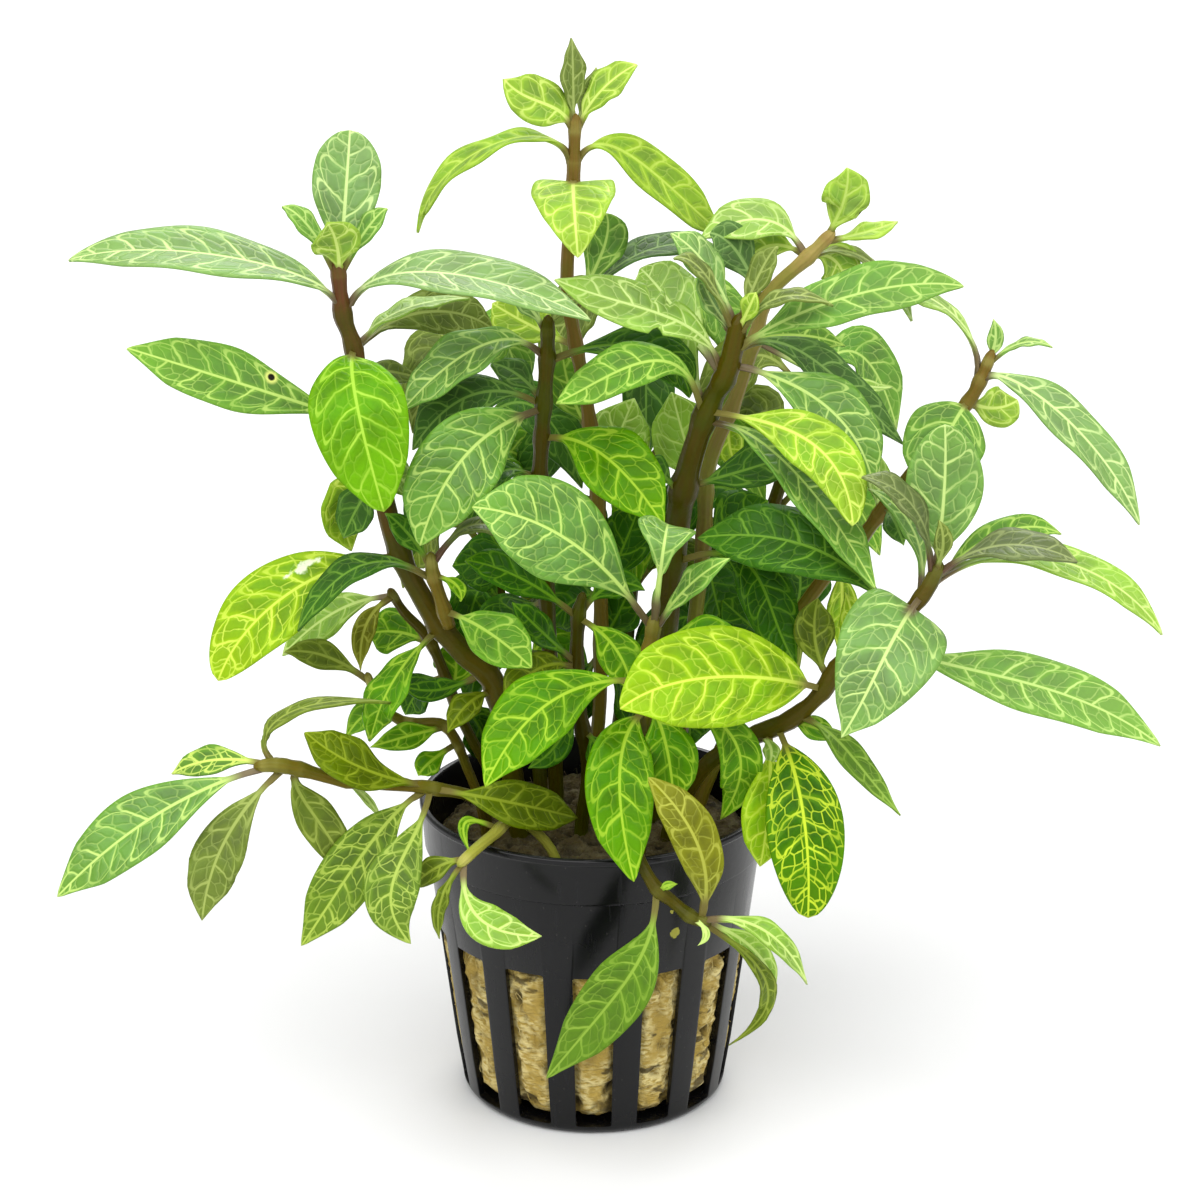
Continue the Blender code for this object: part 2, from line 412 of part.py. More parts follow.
def turned(name, profile, steps, collection):
    """A solid of revolution about Z, from (radius, height) points that run down its outer side."""
    mesh = bpy.data.meshes.new(name)
    points = [(radius, 0.0, height) for radius, height in profile]
    mesh.from_pydata(points, [(i, i + 1) for i in range(len(points) - 1)], [])
    thing = new_object(name, mesh, collection)
    screw = thing.modifiers.new("Turn", "SCREW")
    screw.steps = steps
    screw.render_steps = steps
    screw.use_merge_vertices = True
    screw.merge_threshold = 0.0001
    return bake(thing)


def tube(name, points, collection, extra=0.0):
    """A round tube along an axis, from (place, radius) points in metres, wider by extra."""
    curve = bpy.data.curves.new(name, "CURVE")
    curve.dimensions = "3D"
    curve.bevel_depth = MM
    curve.bevel_resolution = STEM_SIDES_RESOLUTION
    curve.use_fill_caps = True
    spline = curve.splines.new("POLY")
    spline.points.add(len(points) - 1)
    for point, (place, radius) in zip(spline.points, points):
        point.co = (*place, 1.0)
        point.radius = (radius + extra) / MM
    return bake(new_object(name, curve, collection))


# The photograph's view


def seen(pixel_x, pixel_y, depth):
    """The point at this depth (its Y, in mm) that the photograph shows at a pixel, in metres."""
    across = (pixel_x - VIEW_CENTRE_PIXEL) / VIEW_FOCAL_PIXELS
    down = (pixel_y - VIEW_CENTRE_PIXEL) / VIEW_FOCAL_PIXELS
    sight = Vector((
        across,
        math.cos(VIEW_PITCH) - down * math.sin(VIEW_PITCH),
        -math.sin(VIEW_PITCH) - down * math.cos(VIEW_PITCH),
    ))
    return VIEW_PLACE + sight * ((depth * MM - VIEW_PLACE.y) / sight.y)


def pixel_of(place):
    """The pixel where the photograph shows a point."""
    offset = place - VIEW_PLACE
    away = offset.y * math.cos(VIEW_PITCH) - offset.z * math.sin(VIEW_PITCH)
    up = offset.y * math.sin(VIEW_PITCH) + offset.z * math.cos(VIEW_PITCH)
    scale = VIEW_FOCAL_PIXELS / away
    return Vector((VIEW_CENTRE_PIXEL + offset.x * scale, VIEW_CENTRE_PIXEL - up * scale))


# Pot and wool


def wall_radius(height):
    """The outer radius of the pot's wall below its collar."""
    share = height / COLLAR_FOOT_Z
    return BASE_RADIUS + (COLLAR_FOOT_RADIUS - COLLAR_STEP - BASE_RADIUS) * share


def inside_radius(height):
    """The inner radius of the pot's wall, between the round at its floor and its collar."""
    low = wall_radius(0.0) - WALL
    high = COLLAR_FOOT_RADIUS - COLLAR_STEP - WALL
    low_z = FLOOR_THICKNESS + WALL
    return low + (high - low) * (height - low_z) / (COLLAR_FOOT_Z - low_z)


def make_pot(parts, cutters):
    """The net pot: a turned shell, with slots cut through its wall."""
    lip_z = POT_HEIGHT - LIP_HEIGHT
    round_points = [
        (
            wall_radius(0.0) - BASE_ROUND * (1.0 - math.cos(angle)),
            BASE_ROUND * (1.0 - math.sin(angle)),
        )
        for angle in (0.0, math.pi / 4, math.pi / 2)
    ]
    outside = [
        (RIM_RADIUS - 0.5 * WALL, POT_HEIGHT),
        (RIM_RADIUS, POT_HEIGHT - 0.4 * LIP_HEIGHT),
        (RIM_RADIUS, lip_z),
        (RIM_RADIUS - LIP_STEP, lip_z - 0.3 * LIP_HEIGHT),
        (COLLAR_FOOT_RADIUS, COLLAR_FOOT_Z),
        (COLLAR_FOOT_RADIUS - COLLAR_STEP, COLLAR_FOOT_Z - COLLAR_STEP),
    ]
    inside = [
        (wall_radius(0.0) - 2.0 * WALL, FLOOR_THICKNESS),
        (inside_radius(FLOOR_THICKNESS + WALL), FLOOR_THICKNESS + WALL),
        (inside_radius(COLLAR_FOOT_Z), COLLAR_FOOT_Z),
        (RIM_RADIUS - LIP_STEP - WALL, POT_HEIGHT - 0.3 * LIP_HEIGHT),
    ]
    profile = [*outside, *round_points, (0.0, 0.0), (0.0, FLOOR_THICKNESS), *inside, outside[0]]
    pot = turned("pot", profile, POT_STEPS, parts)
    for number in range(SLOT_COUNT):
        angle = -math.pi / 2 + math.tau * number / SLOT_COUNT
        boolean(pot, slot_cutter(angle, cutters), "DIFFERENCE")
    pot.data.shade_smooth()
    pot.data.set_sharp_from_angle(angle=math.radians(30))
    give_material(pot, "charcoal plastic", (0.022, 0.023, 0.025), 0.38)
    return pot


def slot_cutter(angle, cutters):
    """A block that is wider at its top and passes through the wall in one direction."""
    block = bmesh.new()
    bmesh.ops.create_cube(block, size=1.0)
    reach = RIM_RADIUS - 0.6 * BASE_RADIUS
    for corner in block.verts:
        width = SLOT_TOP_WIDTH if corner.co.z > 0 else SLOT_FOOT_WIDTH
        corner.co.x = 0.6 * BASE_RADIUS + reach * (corner.co.x + 0.5)
        corner.co.y *= width
        corner.co.z = SLOT_TOP_Z if corner.co.z > 0 else SLOT_FOOT_Z
    mesh = bpy.data.meshes.new("slot cutter")
    block.to_mesh(mesh)
    block.free()
    cutter = new_object("slot cutter", mesh, cutters)
    cutter.hide_render = True
    cutter.display_type = "WIRE"
    cutter.rotation_euler.z = angle
    return cutter


def make_wool(parts, cutters, stem_axes):
    """The plug of mineral wool, with a hole for each shoot planted in it."""
    foot = inside_radius(WOOL_FOOT_Z) - WOOL_WALL_GAP
    top = inside_radius(WOOL_TOP_Z - WOOL_ROUND) - WOOL_WALL_GAP
    profile = [
        (0.0, WOOL_TOP_Z),
        (top - WOOL_ROUND, WOOL_TOP_Z),
        (top - 0.3 * WOOL_ROUND, WOOL_TOP_Z - 0.3 * WOOL_ROUND),
        (top, WOOL_TOP_Z - WOOL_ROUND),
        (foot, WOOL_FOOT_Z + WOOL_ROUND),
        (foot - WOOL_ROUND, WOOL_FOOT_Z),
        (0.0, WOOL_FOOT_Z),
    ]
    wool = turned("rockwool_plug", profile, WOOL_STEPS, parts)
    for axis in stem_axes:
        end = axis[0]
        start = (end[0] - Vector((0.0, 0.0, FIT_GAP)), end[1])
        hole = tube("planting hole", [start, *axis[1:4]], cutters, extra=FIT_GAP)
        hole.hide_render = True
        hole.display_type = "WIRE"
        boolean(wool, hole, "DIFFERENCE")
    give_material(wool, "mineral wool", (0.42, 0.30, 0.12), 0.95)
    return wool


# Stems


def stem_axis(stem):
    """The axis of a shoot as (place, radius) points in metres, from its planted end up."""
    path = [(seen(x, y, depth), radius * MM) for x, y, depth, radius in stem.path]
    if stem.foot is None:
        return path
    x, y = stem.foot
    thick = path[0][1]
    return [
        (Vector((x * MM, y * MM, WOOL_TOP_Z - ROOT_DEPTH)), thick),
        (Vector((x * MM, y * MM, WOOL_TOP_Z + 0.0005)), thick),
        *path,
    ]


# Leaves


def nearest_on_axis(axis, pixel):
    """Where a shoot's axis passes nearest to a pixel: the place, its direction and its radius."""
    best = None
    for (low, low_radius), (high, high_radius) in zip(axis, axis[1:]):
        for step in range(13):
            share = step / 12
            place = low.lerp(high, share)
            miss = (pixel_of(place) - Vector(pixel)).length
            if best is None or miss < best[0]:
                radius = low_radius + (high_radius - low_radius) * share
                best = (miss, place, (high - low).normalized(), radius)
    return best[1:]


def curve_through(places):
    """A function of 0..1 that gives the smooth curve through places, spaced evenly along it."""
    stations = [number / (len(places) - 1) for number in range(len(places))]

    def at(share):
        found = Vector((0.0, 0.0, 0.0))
        for number, place in enumerate(places):
            others = [station for station in stations if station != stations[number]]
            weight = math.prod((share - other) / (stations[number] - other) for other in others)
            found += place * weight
        return found

    return at


def half_width(share, width, shape):
    """Half the width of a blade of this shape, which narrows to a petiole at its base."""
    if share <= PETIOLE_SHARE:
        return 0.5 * PETIOLE_WIDTH * share / PETIOLE_SHARE
    along = (share - PETIOLE_SHARE) / (1 - PETIOLE_SHARE)
    widest, base_power, tip_power = BLADE_SHAPES[shape]
    power = base_power if along < widest else tip_power
    swell = math.sin(math.pi * along ** (math.log(0.5) / math.log(widest)))
    return max(0.5 * width * max(swell, 0.0) ** power, 0.5 * PETIOLE_WIDTH * (1 - along))


def side_and_face(direction, place, turn):
    """The directions across a blade and out of its upper face, where its midrib has a direction."""
    to_view = (VIEW_PLACE - place).normalized()
    face = (to_view - direction * to_view.dot(direction)).normalized()
    side = direction.cross(face)
    if side.z * 0.94 + side.x * 0.34 < 0:
        side.negate()
    angle = math.radians(turn)
    face = face * math.cos(angle) + side * math.sin(angle)
    return direction.cross(face).normalized(), face


def leaf_segments(leaf):
    """How many pieces a leaf's solid has along its midrib."""
    if leaf.node:
        return LEAF_SEGMENTS
    if leaf.stem in BACK_PAIRS or leaf in INNER_LEAVES or leaf.width < TINY_LEAF_WIDTH:
        return INNER_LEAF_SEGMENTS
    return SMALL_LEAF_SEGMENTS


def leaf_mesh(leaf, curve):
    """A thin closed blade about its midrib, folded a little along it, from a stretched sphere."""
    blade = bmesh.new()
    segments = leaf_segments(leaf)
    bmesh.ops.create_uvsphere(blade, u_segments=4, v_segments=segments, radius=1.0)
    for corner in blade.verts:
        height = max(-1.0, min(1.0, corner.co.z))
        share = 0.5 + (0.5 - math.acos(height) / math.pi) * LEAF_RING_SPREAD
        share = max(0.0, min(1.0, share))
        around = math.hypot(corner.co.x, corner.co.y)
        across = round(corner.co.x / around) if around > 0.01 else 0
        through = round(corner.co.y / around) if around > 0.01 else 0
        place = curve(share)
        direction = (curve(min(1.0, share + 0.01)) - curve(max(0.0, share - 0.01))).normalized()
        side, face = side_and_face(direction, place, leaf.turn)
        half = half_width(share, leaf.width, leaf.shape) * MM
        thick = 0.5 * LEAF_THICKNESS * MM * (0.6 + 0.4 * math.sin(math.pi * share))
        rise = half * math.tan(FOLD) * abs(across)
        corner.co = (
            place
            + side * (across * half)
            + face * (through * thick + rise)
        )
    bmesh.ops.triangulate(blade, faces=blade.faces)
    if blade.calc_volume(signed=True) < 0:
        bmesh.ops.reverse_faces(blade, faces=blade.faces)
    mesh = bpy.data.meshes.new("leaf")
    blade.to_mesh(mesh)
    blade.free()
    return mesh


def leaf_curve(leaf, axis):
    """A leaf's midrib, from the skin of its stem, or from inside it where the two are one."""
    place, along, radius = nearest_on_axis(axis, leaf.base)
    places = [seen(x, y, depth) for x, y, depth in leaf.midrib]
    out = places[0] - place
    out = (out - along * out.dot(along)).normalized()
    start = place + out * (radius + 1.2 * FIT_GAP if leaf.node else 0.3 * radius)
    return curve_through([start, *places])


def back_leaves(key, axis):
    """Crosswise pairs of leaves down a shoot at the back, arching out and drooping at their tips."""
    found = []
    lengths = [0.0]
    for (low, _), (high, _) in zip(axis, axis[1:]):
        lengths.append(lengths[-1] + (high - low).length)
    pairs, pair_step, first_angle = BACK_PAIRS[key]
    for pair in range(pairs):
        wanted = lengths[-1] * (1.0 - pair_step * pair) - 0.6 * MM
        piece = max(i for i, length in enumerate(lengths[:-1]) if length <= wanted)
        share = (wanted - lengths[piece]) / (lengths[piece + 1] - lengths[piece])
        place = axis[piece][0].lerp(axis[piece + 1][0], share)
        length = BACK_LEAF_LENGTH - BACK_LEAF_GROWTH * abs(pair - 1.5)
        for side in (0, 1):
            angle = math.radians(first_angle) + math.pi * side + math.pi / 2 * pair
            out = Vector((math.cos(angle), BACK_LEAF_NARROW * math.sin(angle) + 0.25, 0.0))
            middle = place + (out * 0.55 * length + Vector((0, 0, BACK_LEAF_RISE))) * MM
            tip = place + (out * length - Vector((0, 0, BACK_LEAF_DROP))) * MM
            found.append((key, place, middle, tip))
    return found


def leaf_from_places(key, place, middle, tip):
    """A leaf of a back shoot, from places in metres."""
    def with_depth(point):
        pixel = pixel_of(point)
        return (pixel.x, pixel.y, point.y / MM)

    base = pixel_of(place)
    width = BACK_LEAF_WIDTH
    midrib = [with_depth(middle), with_depth(tip)]
    return Leaf("", key, (base.x, base.y), midrib, width, 35, "dark")


# The whole plant


def make_plant(parts, cutters, axes):
    """The stems, with their small leaves joined to them, and the large leaves beside them."""
    stems = {}
    for key, stem in STEMS.items():
        stems[key] = tube(stem.node, axes[key], parts)
        give_material(stems[key], "stem", (0.075, 0.055, 0.020), 0.5)
    leaves = [*LEAVES, *INNER_LEAVES]
    for key in BACK_PAIRS:
        leaves += [leaf_from_places(*places) for places in back_leaves(key, axes[key])]
    for leaf in leaves:
        mesh = leaf_mesh(leaf, leaf_curve(leaf, axes[leaf.stem]))
        if leaf.node:
            blade = new_object(leaf.node, mesh, parts)
            give_material(blade, f"leaf {leaf.look}", LOOKS[leaf.look], 0.45)
        else:
            boolean(stems[leaf.stem], new_object("small leaf", mesh, cutters), "UNION")
            give_material(stems[leaf.stem], "stem", (0.075, 0.055, 0.020), 0.5)


def main():
    for thing in list(bpy.data.objects):
        bpy.data.objects.remove(thing)
    parts = bpy.data.collections.new("potted_hygrophila")
    cutters = bpy.data.collections.new("cutters")
    bpy.context.scene.collection.children.link(parts)
    bpy.context.scene.collection.children.link(cutters)
    cutters.hide_render = True
    axes = {key: stem_axis(stem) for key, stem in STEMS.items()}
    planted = [axes[key] for key, stem in STEMS.items() if stem.foot]
    make_pot(parts, cutters)
    make_wool(parts, cutters, planted)
    make_plant(parts, cutters, axes)


main()
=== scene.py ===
"""The looks of a bunch of net-veined hygrophila cuttings, rooted in mineral wool, in a net pot.

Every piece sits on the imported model's solids: shoots and leaves are set out from the same pixels
and depths, in the same view, and the pot and the wool from the same sizes.
"""

from __future__ import annotations

import logging
import math
import random
from collections.abc import Callable, Iterable
from dataclasses import dataclass, field, replace
from enum import Enum
from functools import partial, reduce

import bpy
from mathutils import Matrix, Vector, noise

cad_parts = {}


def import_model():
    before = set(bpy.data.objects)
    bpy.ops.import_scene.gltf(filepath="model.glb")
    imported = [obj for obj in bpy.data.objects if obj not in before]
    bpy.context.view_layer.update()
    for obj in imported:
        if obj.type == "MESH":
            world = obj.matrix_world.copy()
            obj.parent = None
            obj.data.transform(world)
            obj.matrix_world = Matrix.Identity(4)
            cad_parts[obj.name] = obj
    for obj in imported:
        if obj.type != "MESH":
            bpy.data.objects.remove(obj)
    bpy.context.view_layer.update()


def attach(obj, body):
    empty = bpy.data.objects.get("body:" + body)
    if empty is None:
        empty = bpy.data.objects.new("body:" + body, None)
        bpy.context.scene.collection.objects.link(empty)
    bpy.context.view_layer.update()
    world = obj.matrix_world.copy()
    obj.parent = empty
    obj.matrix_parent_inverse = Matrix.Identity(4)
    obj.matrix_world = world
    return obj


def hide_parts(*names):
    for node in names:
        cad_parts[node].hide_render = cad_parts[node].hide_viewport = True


LOG = logging.getLogger("potted_hygrophila")
MM = 0.001
WOOL_TOP_Z = 0.0450
ROOT_DEPTH = 0.0110
PLANT_HEIGHT = 0.17
MAP_MM = 50.0
MAP_MIDDLE = 0.5
UP = Vector((0.0, 0.0, 1.0))

Pair = tuple[float, float]
Triple = tuple[float, float, float]
Colour = Triple
Places = list[tuple[Vector, float]]
Material = bpy.types.Material
Object = bpy.types.Object


@dataclass(frozen=True)
class PhotoView:
    """Where the photograph was taken from, in metres, radians and pixels."""

    place: Vector = field(default_factory=lambda: Vector((0.0010, -0.4220, 0.2150)))
    pitch: float = math.radians(17.4)
    focal_pixels: float = 2800.0
    centre_pixel: float = 600.0
    sensor_mm: float = 36.0
    clip: Pair = (0.01, 20.0)

    def seen(self, pixel_x: float, pixel_y: float, depth: float) -> Vector:
        """The point at a depth that the photograph shows at a pixel.

        Args:
            pixel_x: Pixels from the picture's left side.
            pixel_y: Pixels from its top.
            depth: The point's Y, in millimetres.

        Returns:
            The point, in metres.
        """
        across = (pixel_x - self.centre_pixel) / self.focal_pixels
        down = (pixel_y - self.centre_pixel) / self.focal_pixels
        cosine, sine = math.cos(self.pitch), math.sin(self.pitch)
        sight = Vector((across, cosine - down * sine, -sine - down * cosine))
        return self.place + sight * ((depth * MM - self.place.y) / sight.y)

    def pixel_of(self, place: Vector) -> Vector:
        """The pixel where the photograph shows a point."""
        offset = place - self.place
        cosine, sine = math.cos(self.pitch), math.sin(self.pitch)
        away = offset.y * cosine - offset.z * sine
        rise = offset.y * sine + offset.z * cosine
        scale = self.focal_pixels / away
        return Vector((self.centre_pixel + offset.x * scale, self.centre_pixel - rise * scale))

    def make_camera(self) -> None:
        """Stand the scene's camera where the photograph was taken from."""
        data = bpy.data.cameras.new("photo_view")
        data.sensor_width = self.sensor_mm
        data.lens = self.sensor_mm * self.focal_pixels / (2.0 * self.centre_pixel)
        data.clip_start, data.clip_end = self.clip
        camera = place_object("photo_view", data)
        camera.location = self.place
        camera.rotation_euler = (math.pi / 2 - self.pitch, 0.0, 0.0)
        bpy.context.scene.camera = camera


VIEW = PhotoView()


class BladeShape(Enum):
    """Where along a blade it is widest, and how steeply it narrows to its base and to its tip."""

    LANCE = (0.55, 1.30, 0.62)
    OVAL = (0.52, 0.80, 0.52)
    HEART = (0.27, 0.42, 0.78)
    BLUNT = (0.78, 0.80, 0.30)

    def share_of_width(self, along: float, point: float) -> float:
        """The blade's width at a place, as a share of its greatest width.

        Args:
            along: 0 where the petiole ends, 1 at the tip.
            point: How drawn out the tip is: 0 for a round one.

        Returns:
            The share, from 0 to 1.
        """
        widest, base_power, tip_power = self.value
        power = base_power if along < widest else tip_power
        swell = math.sin(math.pi * along ** (math.log(0.5) / math.log(widest)))
        tip_start, tip_reach = 0.80, 0.20
        drawn_out = point * max(0.0, (along - tip_start) / tip_reach) ** 1.3
        return max(swell, 0.0) ** power * (1.0 - drawn_out)


# Scene tools


def place_object(name: str, data: bpy.types.ID) -> Object:
    """A new object in the scene, for a camera's, a light's or a curve's data."""
    made = bpy.data.objects.new(name, data)
    bpy.context.scene.collection.objects.link(made)
    return made


def deselect() -> None:
    """Leave nothing selected."""
    if bpy.context.object and bpy.context.object.mode != "OBJECT":
        bpy.ops.object.mode_set(mode="OBJECT")
    bpy.ops.object.select_all(action="DESELECT")


def pick(thing: Object) -> None:
    """Select one object alone and make it active."""
    deselect()
    thing.select_set(True)
    bpy.context.view_layer.objects.active = thing


def start_mesh(primitive: Callable[..., object], name: str, **settings: object) -> Object:
    """A new mesh object from one of Blender's primitives."""
    deselect()
    primitive(**settings)
    bpy.context.object.name = name
    return bpy.context.object


def edit(thing: Object, operator: Callable[..., object], **settings: object) -> None:
    """Run an edit-mode operator on the whole of a mesh.

    Args:
        thing: The mesh object.
        operator: The operator.
        settings: Its arguments by name.
    """
    pick(thing)
    bpy.ops.object.mode_set(mode="EDIT")
    bpy.ops.mesh.select_all(action="SELECT")
    operator(**settings)
    bpy.ops.object.mode_set(mode="OBJECT")


def merge_doubles(thing: Object, reach: float = 1e-6) -> None:
    """Merge an object's corners that are nearer than this, in metres."""
    edit(thing, bpy.ops.mesh.remove_doubles, threshold=reach)


def face_outwards(thing: Object) -> None:
    """Turn a closed mesh's faces outwards."""
    edit(thing, bpy.ops.mesh.normals_make_consistent, inside=False)


def apply_modifier(thing: Object, kind: str, **settings: object) -> None:
    """Add a modifier of this type with these settings and apply it."""
    modifier = thing.modifiers.new(kind.title(), kind)
    for name, value in settings.items():
        setattr(modifier, name, value)
    pick(thing)
    bpy.ops.object.modifier_apply(modifier=modifier.name)


def tubes(name: str, lines: Iterable[Places], radius: float, rings: int, capped: bool) -> Object:
    """Round tubes along lines, in one mesh without a map.

    Args:
        name: The object's name.
        lines: Each tube's points, as (place, share of the radius).
        radius: A tube's radius where the share is 1, in metres.
        rings: How finely it is rounded: 0 for four sides.
        capped: Whether its ends are closed.

    Returns:
        The mesh object.
    """
    curve = bpy.data.curves.new(name, "CURVE")
    curve.dimensions = "3D"
    curve.bevel_depth = radius
    curve.bevel_resolution = rings
    curve.use_fill_caps = capped
    for line in lines:
        spline = curve.splines.new("POLY")
        spline.points.add(len(line) - 1)
        for point, (place, share) in zip(spline.points, line):
            point.co = (*place, 1.0)
            point.radius = share
    made = place_object(name, curve)
    pick(made)
    bpy.ops.object.convert(target="MESH")
    drop_maps(made)
    return made


def drop_maps(thing: Object) -> None:
    """Remove a mesh's texture maps."""
    for layer in list(thing.data.uv_layers):
        thing.data.uv_layers.remove(layer)


def join(things: list[Object], name: str) -> Object:
    """Join mesh objects into the first one, under a new name."""
    deselect()
    for thing in things:
        thing.select_set(True)
    bpy.context.view_layer.objects.active = things[0]
    if len(things) > 1:
        bpy.ops.object.join()
    things[0].name = name
    things[0].data.name = name
    return things[0]


def point_attribute(thing: Object, name: str, values: list[float] | float) -> None:
    """Store a number for each corner of a mesh, or one number for them all."""
    attribute = thing.data.attributes.new(name, "FLOAT", "POINT")
    if not isinstance(values, list):
        values = [values] * len(thing.data.vertices)
    attribute.data.foreach_set("value", values)


def stand_for(thing: Object, node: str, slot: str) -> None:
    """Let a piece ride on the plant's one body, in place of a solid.

    Args:
        thing: The piece.
        node: The solid that it stands for.
        slot: Not used.
    """
    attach(thing, "root")
    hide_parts(node)
    LOG.info("%s: %d faces", thing.name, len(thing.data.polygons))


def turned(angle: float) -> Vector:
    """The level direction at an angle from +X."""
    return Vector((math.cos(angle), math.sin(angle), 0.0))


# Shader tools


def arithmetic(operation: str, swapped: bool = False) -> Callable[[Signal, Feed], Signal]:
    """The method that adds a Math node for an operator, or for its right-hand form."""

    def method(self: Signal, other: Feed) -> Signal:
        """The node's value."""
        pair = (other, self) if swapped else (self, other)
        return self.sheet.math(operation, *pair)

    return method


@dataclass(frozen=True, eq=False)
class Signal:
    """What flows out of a socket; plain arithmetic on it adds Math nodes."""

    sheet: Sheet
    socket: bpy.types.NodeSocket

    __add__, __radd__ = arithmetic("ADD"), arithmetic("ADD", swapped=True)
    __sub__, __rsub__ = arithmetic("SUBTRACT"), arithmetic("SUBTRACT", swapped=True)
    __mul__, __truediv__ = arithmetic("MULTIPLY"), arithmetic("DIVIDE")
    __pow__ = arithmetic("POWER")

    def __abs__(self) -> Signal:
        """Its absolute value."""
        return self.sheet.math("ABSOLUTE", self)


Feed = Signal | float | tuple | Vector


@dataclass
class Sheet:
    """A node tree that is written one value at a time."""

    tree: bpy.types.NodeTree

    def node(self, kind: str, feeds: dict[str | int, Feed], **settings: object) -> bpy.types.Node:
        """A new node.

        Args:
            kind: Its type.
            feeds: What goes into its inputs.
            settings: Its properties by name.

        Returns:
            The node.
        """
        made = self.tree.nodes.new(kind)
        for name, value in settings.items():
            setattr(made, name, value)
        for name, value in feeds.items():
            self.feed(made.inputs[name], value)
        return made

    def feed(self, socket: bpy.types.NodeSocket, value: Feed) -> None:
        """Link an input to a signal, or set it: a colour is given in sRGB parts of 255."""
        if isinstance(value, Signal):
            self.tree.links.new(value.socket, socket)
        else:
            socket.default_value = rgba(value) if socket.type == "RGBA" else value

    def out(
        self, kind: str, feeds: dict[str | int, Feed], output: str | int = 0, **settings: object
    ) -> Signal:
        """What a new node gives out; the arguments are those of node, and the output's name."""
        return Signal(self, self.node(kind, feeds, **settings).outputs[output])

    def math(self, operation: str, *values: Feed, clamp: bool = False) -> Signal:
        """The result of a Math node's operation on these values, kept from 0 to 1 if clamped."""
        feeds = dict(enumerate(values))
        return self.out("ShaderNodeMath", feeds, operation=operation, use_clamp=clamp)

    def largest(self, *values: Feed) -> Signal:
        """The largest of some values."""
        return reduce(partial(self.math, "MAXIMUM"), values)

    def smallest(self, *values: Feed) -> Signal:
        """The smallest of some values."""
        return reduce(partial(self.math, "MINIMUM"), values)

    def ramp(self, value: Feed, low: Feed, high: Feed) -> Signal:
        """A smooth step from 0 at low to 1 at high; it falls where low is above high."""
        feeds = {"Value": value, "From Min": low, "From Max": high}
        return self.out("ShaderNodeMapRange", feeds, "Result", interpolation_type="SMOOTHSTEP")

    def mix(self, share: Feed, first: Feed, second: Feed) -> Signal:
        """A colour between two: the first where the share is 0, the second where it is 1."""
        feeds = {"Factor": share, "A": first, "B": second}
        return self.out("ShaderNodeMix", feeds, "Result", data_type="RGBA")

    def noise(self, place: Signal, scale: float, octaves: float) -> Signal:
        """Soft noise from 0 to 1 at a place, with so many blobs on each unit of it."""
        feeds = {"Vector": place, "Scale": scale, "Detail": octaves}
        return self.out("ShaderNodeTexNoise", feeds, "Fac")

    def attribute(self, name: str) -> Signal:
        """A number that the mesh holds for each corner."""
        return self.out("ShaderNodeAttribute", {}, "Fac", attribute_name=name)

    def here(self) -> Signal:
        """The place on the object."""
        return self.out("ShaderNodeTexCoord", {}, "Object")

    def drawn(self, scale: Triple, turn: Triple = (0.0, 0.0, 0.0)) -> Signal:
        """The place on the object, scaled and turned, which draws noise out into streaks."""
        feeds = {"Vector": self.here(), "Scale": scale, "Rotation": turn}
        return self.out("ShaderNodeMapping", feeds)

    def joined(self, across: Feed, along: Feed, deep: Feed = 0.0) -> Signal:
        """A place from its parts."""
        return self.out("ShaderNodeCombineXYZ", {0: across, 1: along, 2: deep})

    def parts(self, place: Signal) -> list[Signal]:
        """The three parts of a place."""
        made = self.node("ShaderNodeSeparateXYZ", {0: place})
        return [Signal(self, output) for output in made.outputs]

    def blade_map(self) -> Signal:
        """The place on the piece's own map, in units of 50 mm."""
        return self.out("ShaderNodeUVMap", {}, uv_map="blade")

    def blade_place(self) -> tuple[Signal, Signal]:
        """The distances in mm across from a leaf's midrib, and along from its base."""
        across, along, _ = self.parts(self.blade_map())
        return (across - MAP_MIDDLE) * MAP_MM, along * MAP_MM


class Paint(Sheet):
    """The sheet of a new material, with the shader that it feeds."""

    def __init__(self, name: str) -> None:
        """Make the material."""
        self.material = bpy.data.materials.new(name)
        self.material.use_nodes = True
        super().__init__(self.material.node_tree)

    def finish(
        self,
        colour: Feed,
        roughness: Feed,
        gloss: float = 0.5,
        relief: Signal | None = None,
        strength: float = 1.0,
        depth: float = 0.0,
    ) -> Material:
        """Feed the shader.

        Args:
            colour: The base colour.
            roughness: Its roughness.
            gloss: How much it mirrors, 0.5 for plain plastic or glass.
            relief: The height of its bumps, in shares of their depth.
            strength: How much the bumps count.
            depth: Their depth, in metres.

        Returns:
            The material.
        """
        inputs = self.tree.nodes["Principled BSDF"].inputs
        self.feed(inputs["Base Color"], colour)
        self.feed(inputs["Roughness"], roughness)
        self.feed(inputs["Specular IOR Level"], gloss)
        if relief:
            feeds = {"Strength": strength, "Distance": depth, "Height": relief}
            self.feed(inputs["Normal"], self.out("ShaderNodeBump", feeds))
        return self.material


def rgba(colour: Colour) -> tuple[float, float, float, float]:
    """The linear colour, with full alpha, of sRGB parts of 255."""
    linear = [
        part / 255 / 12.92 if part < 10.3 else ((part / 255 + 0.055) / 1.055) ** 2.4
        for part in colour
    ]
    return (*linear, 1.0)


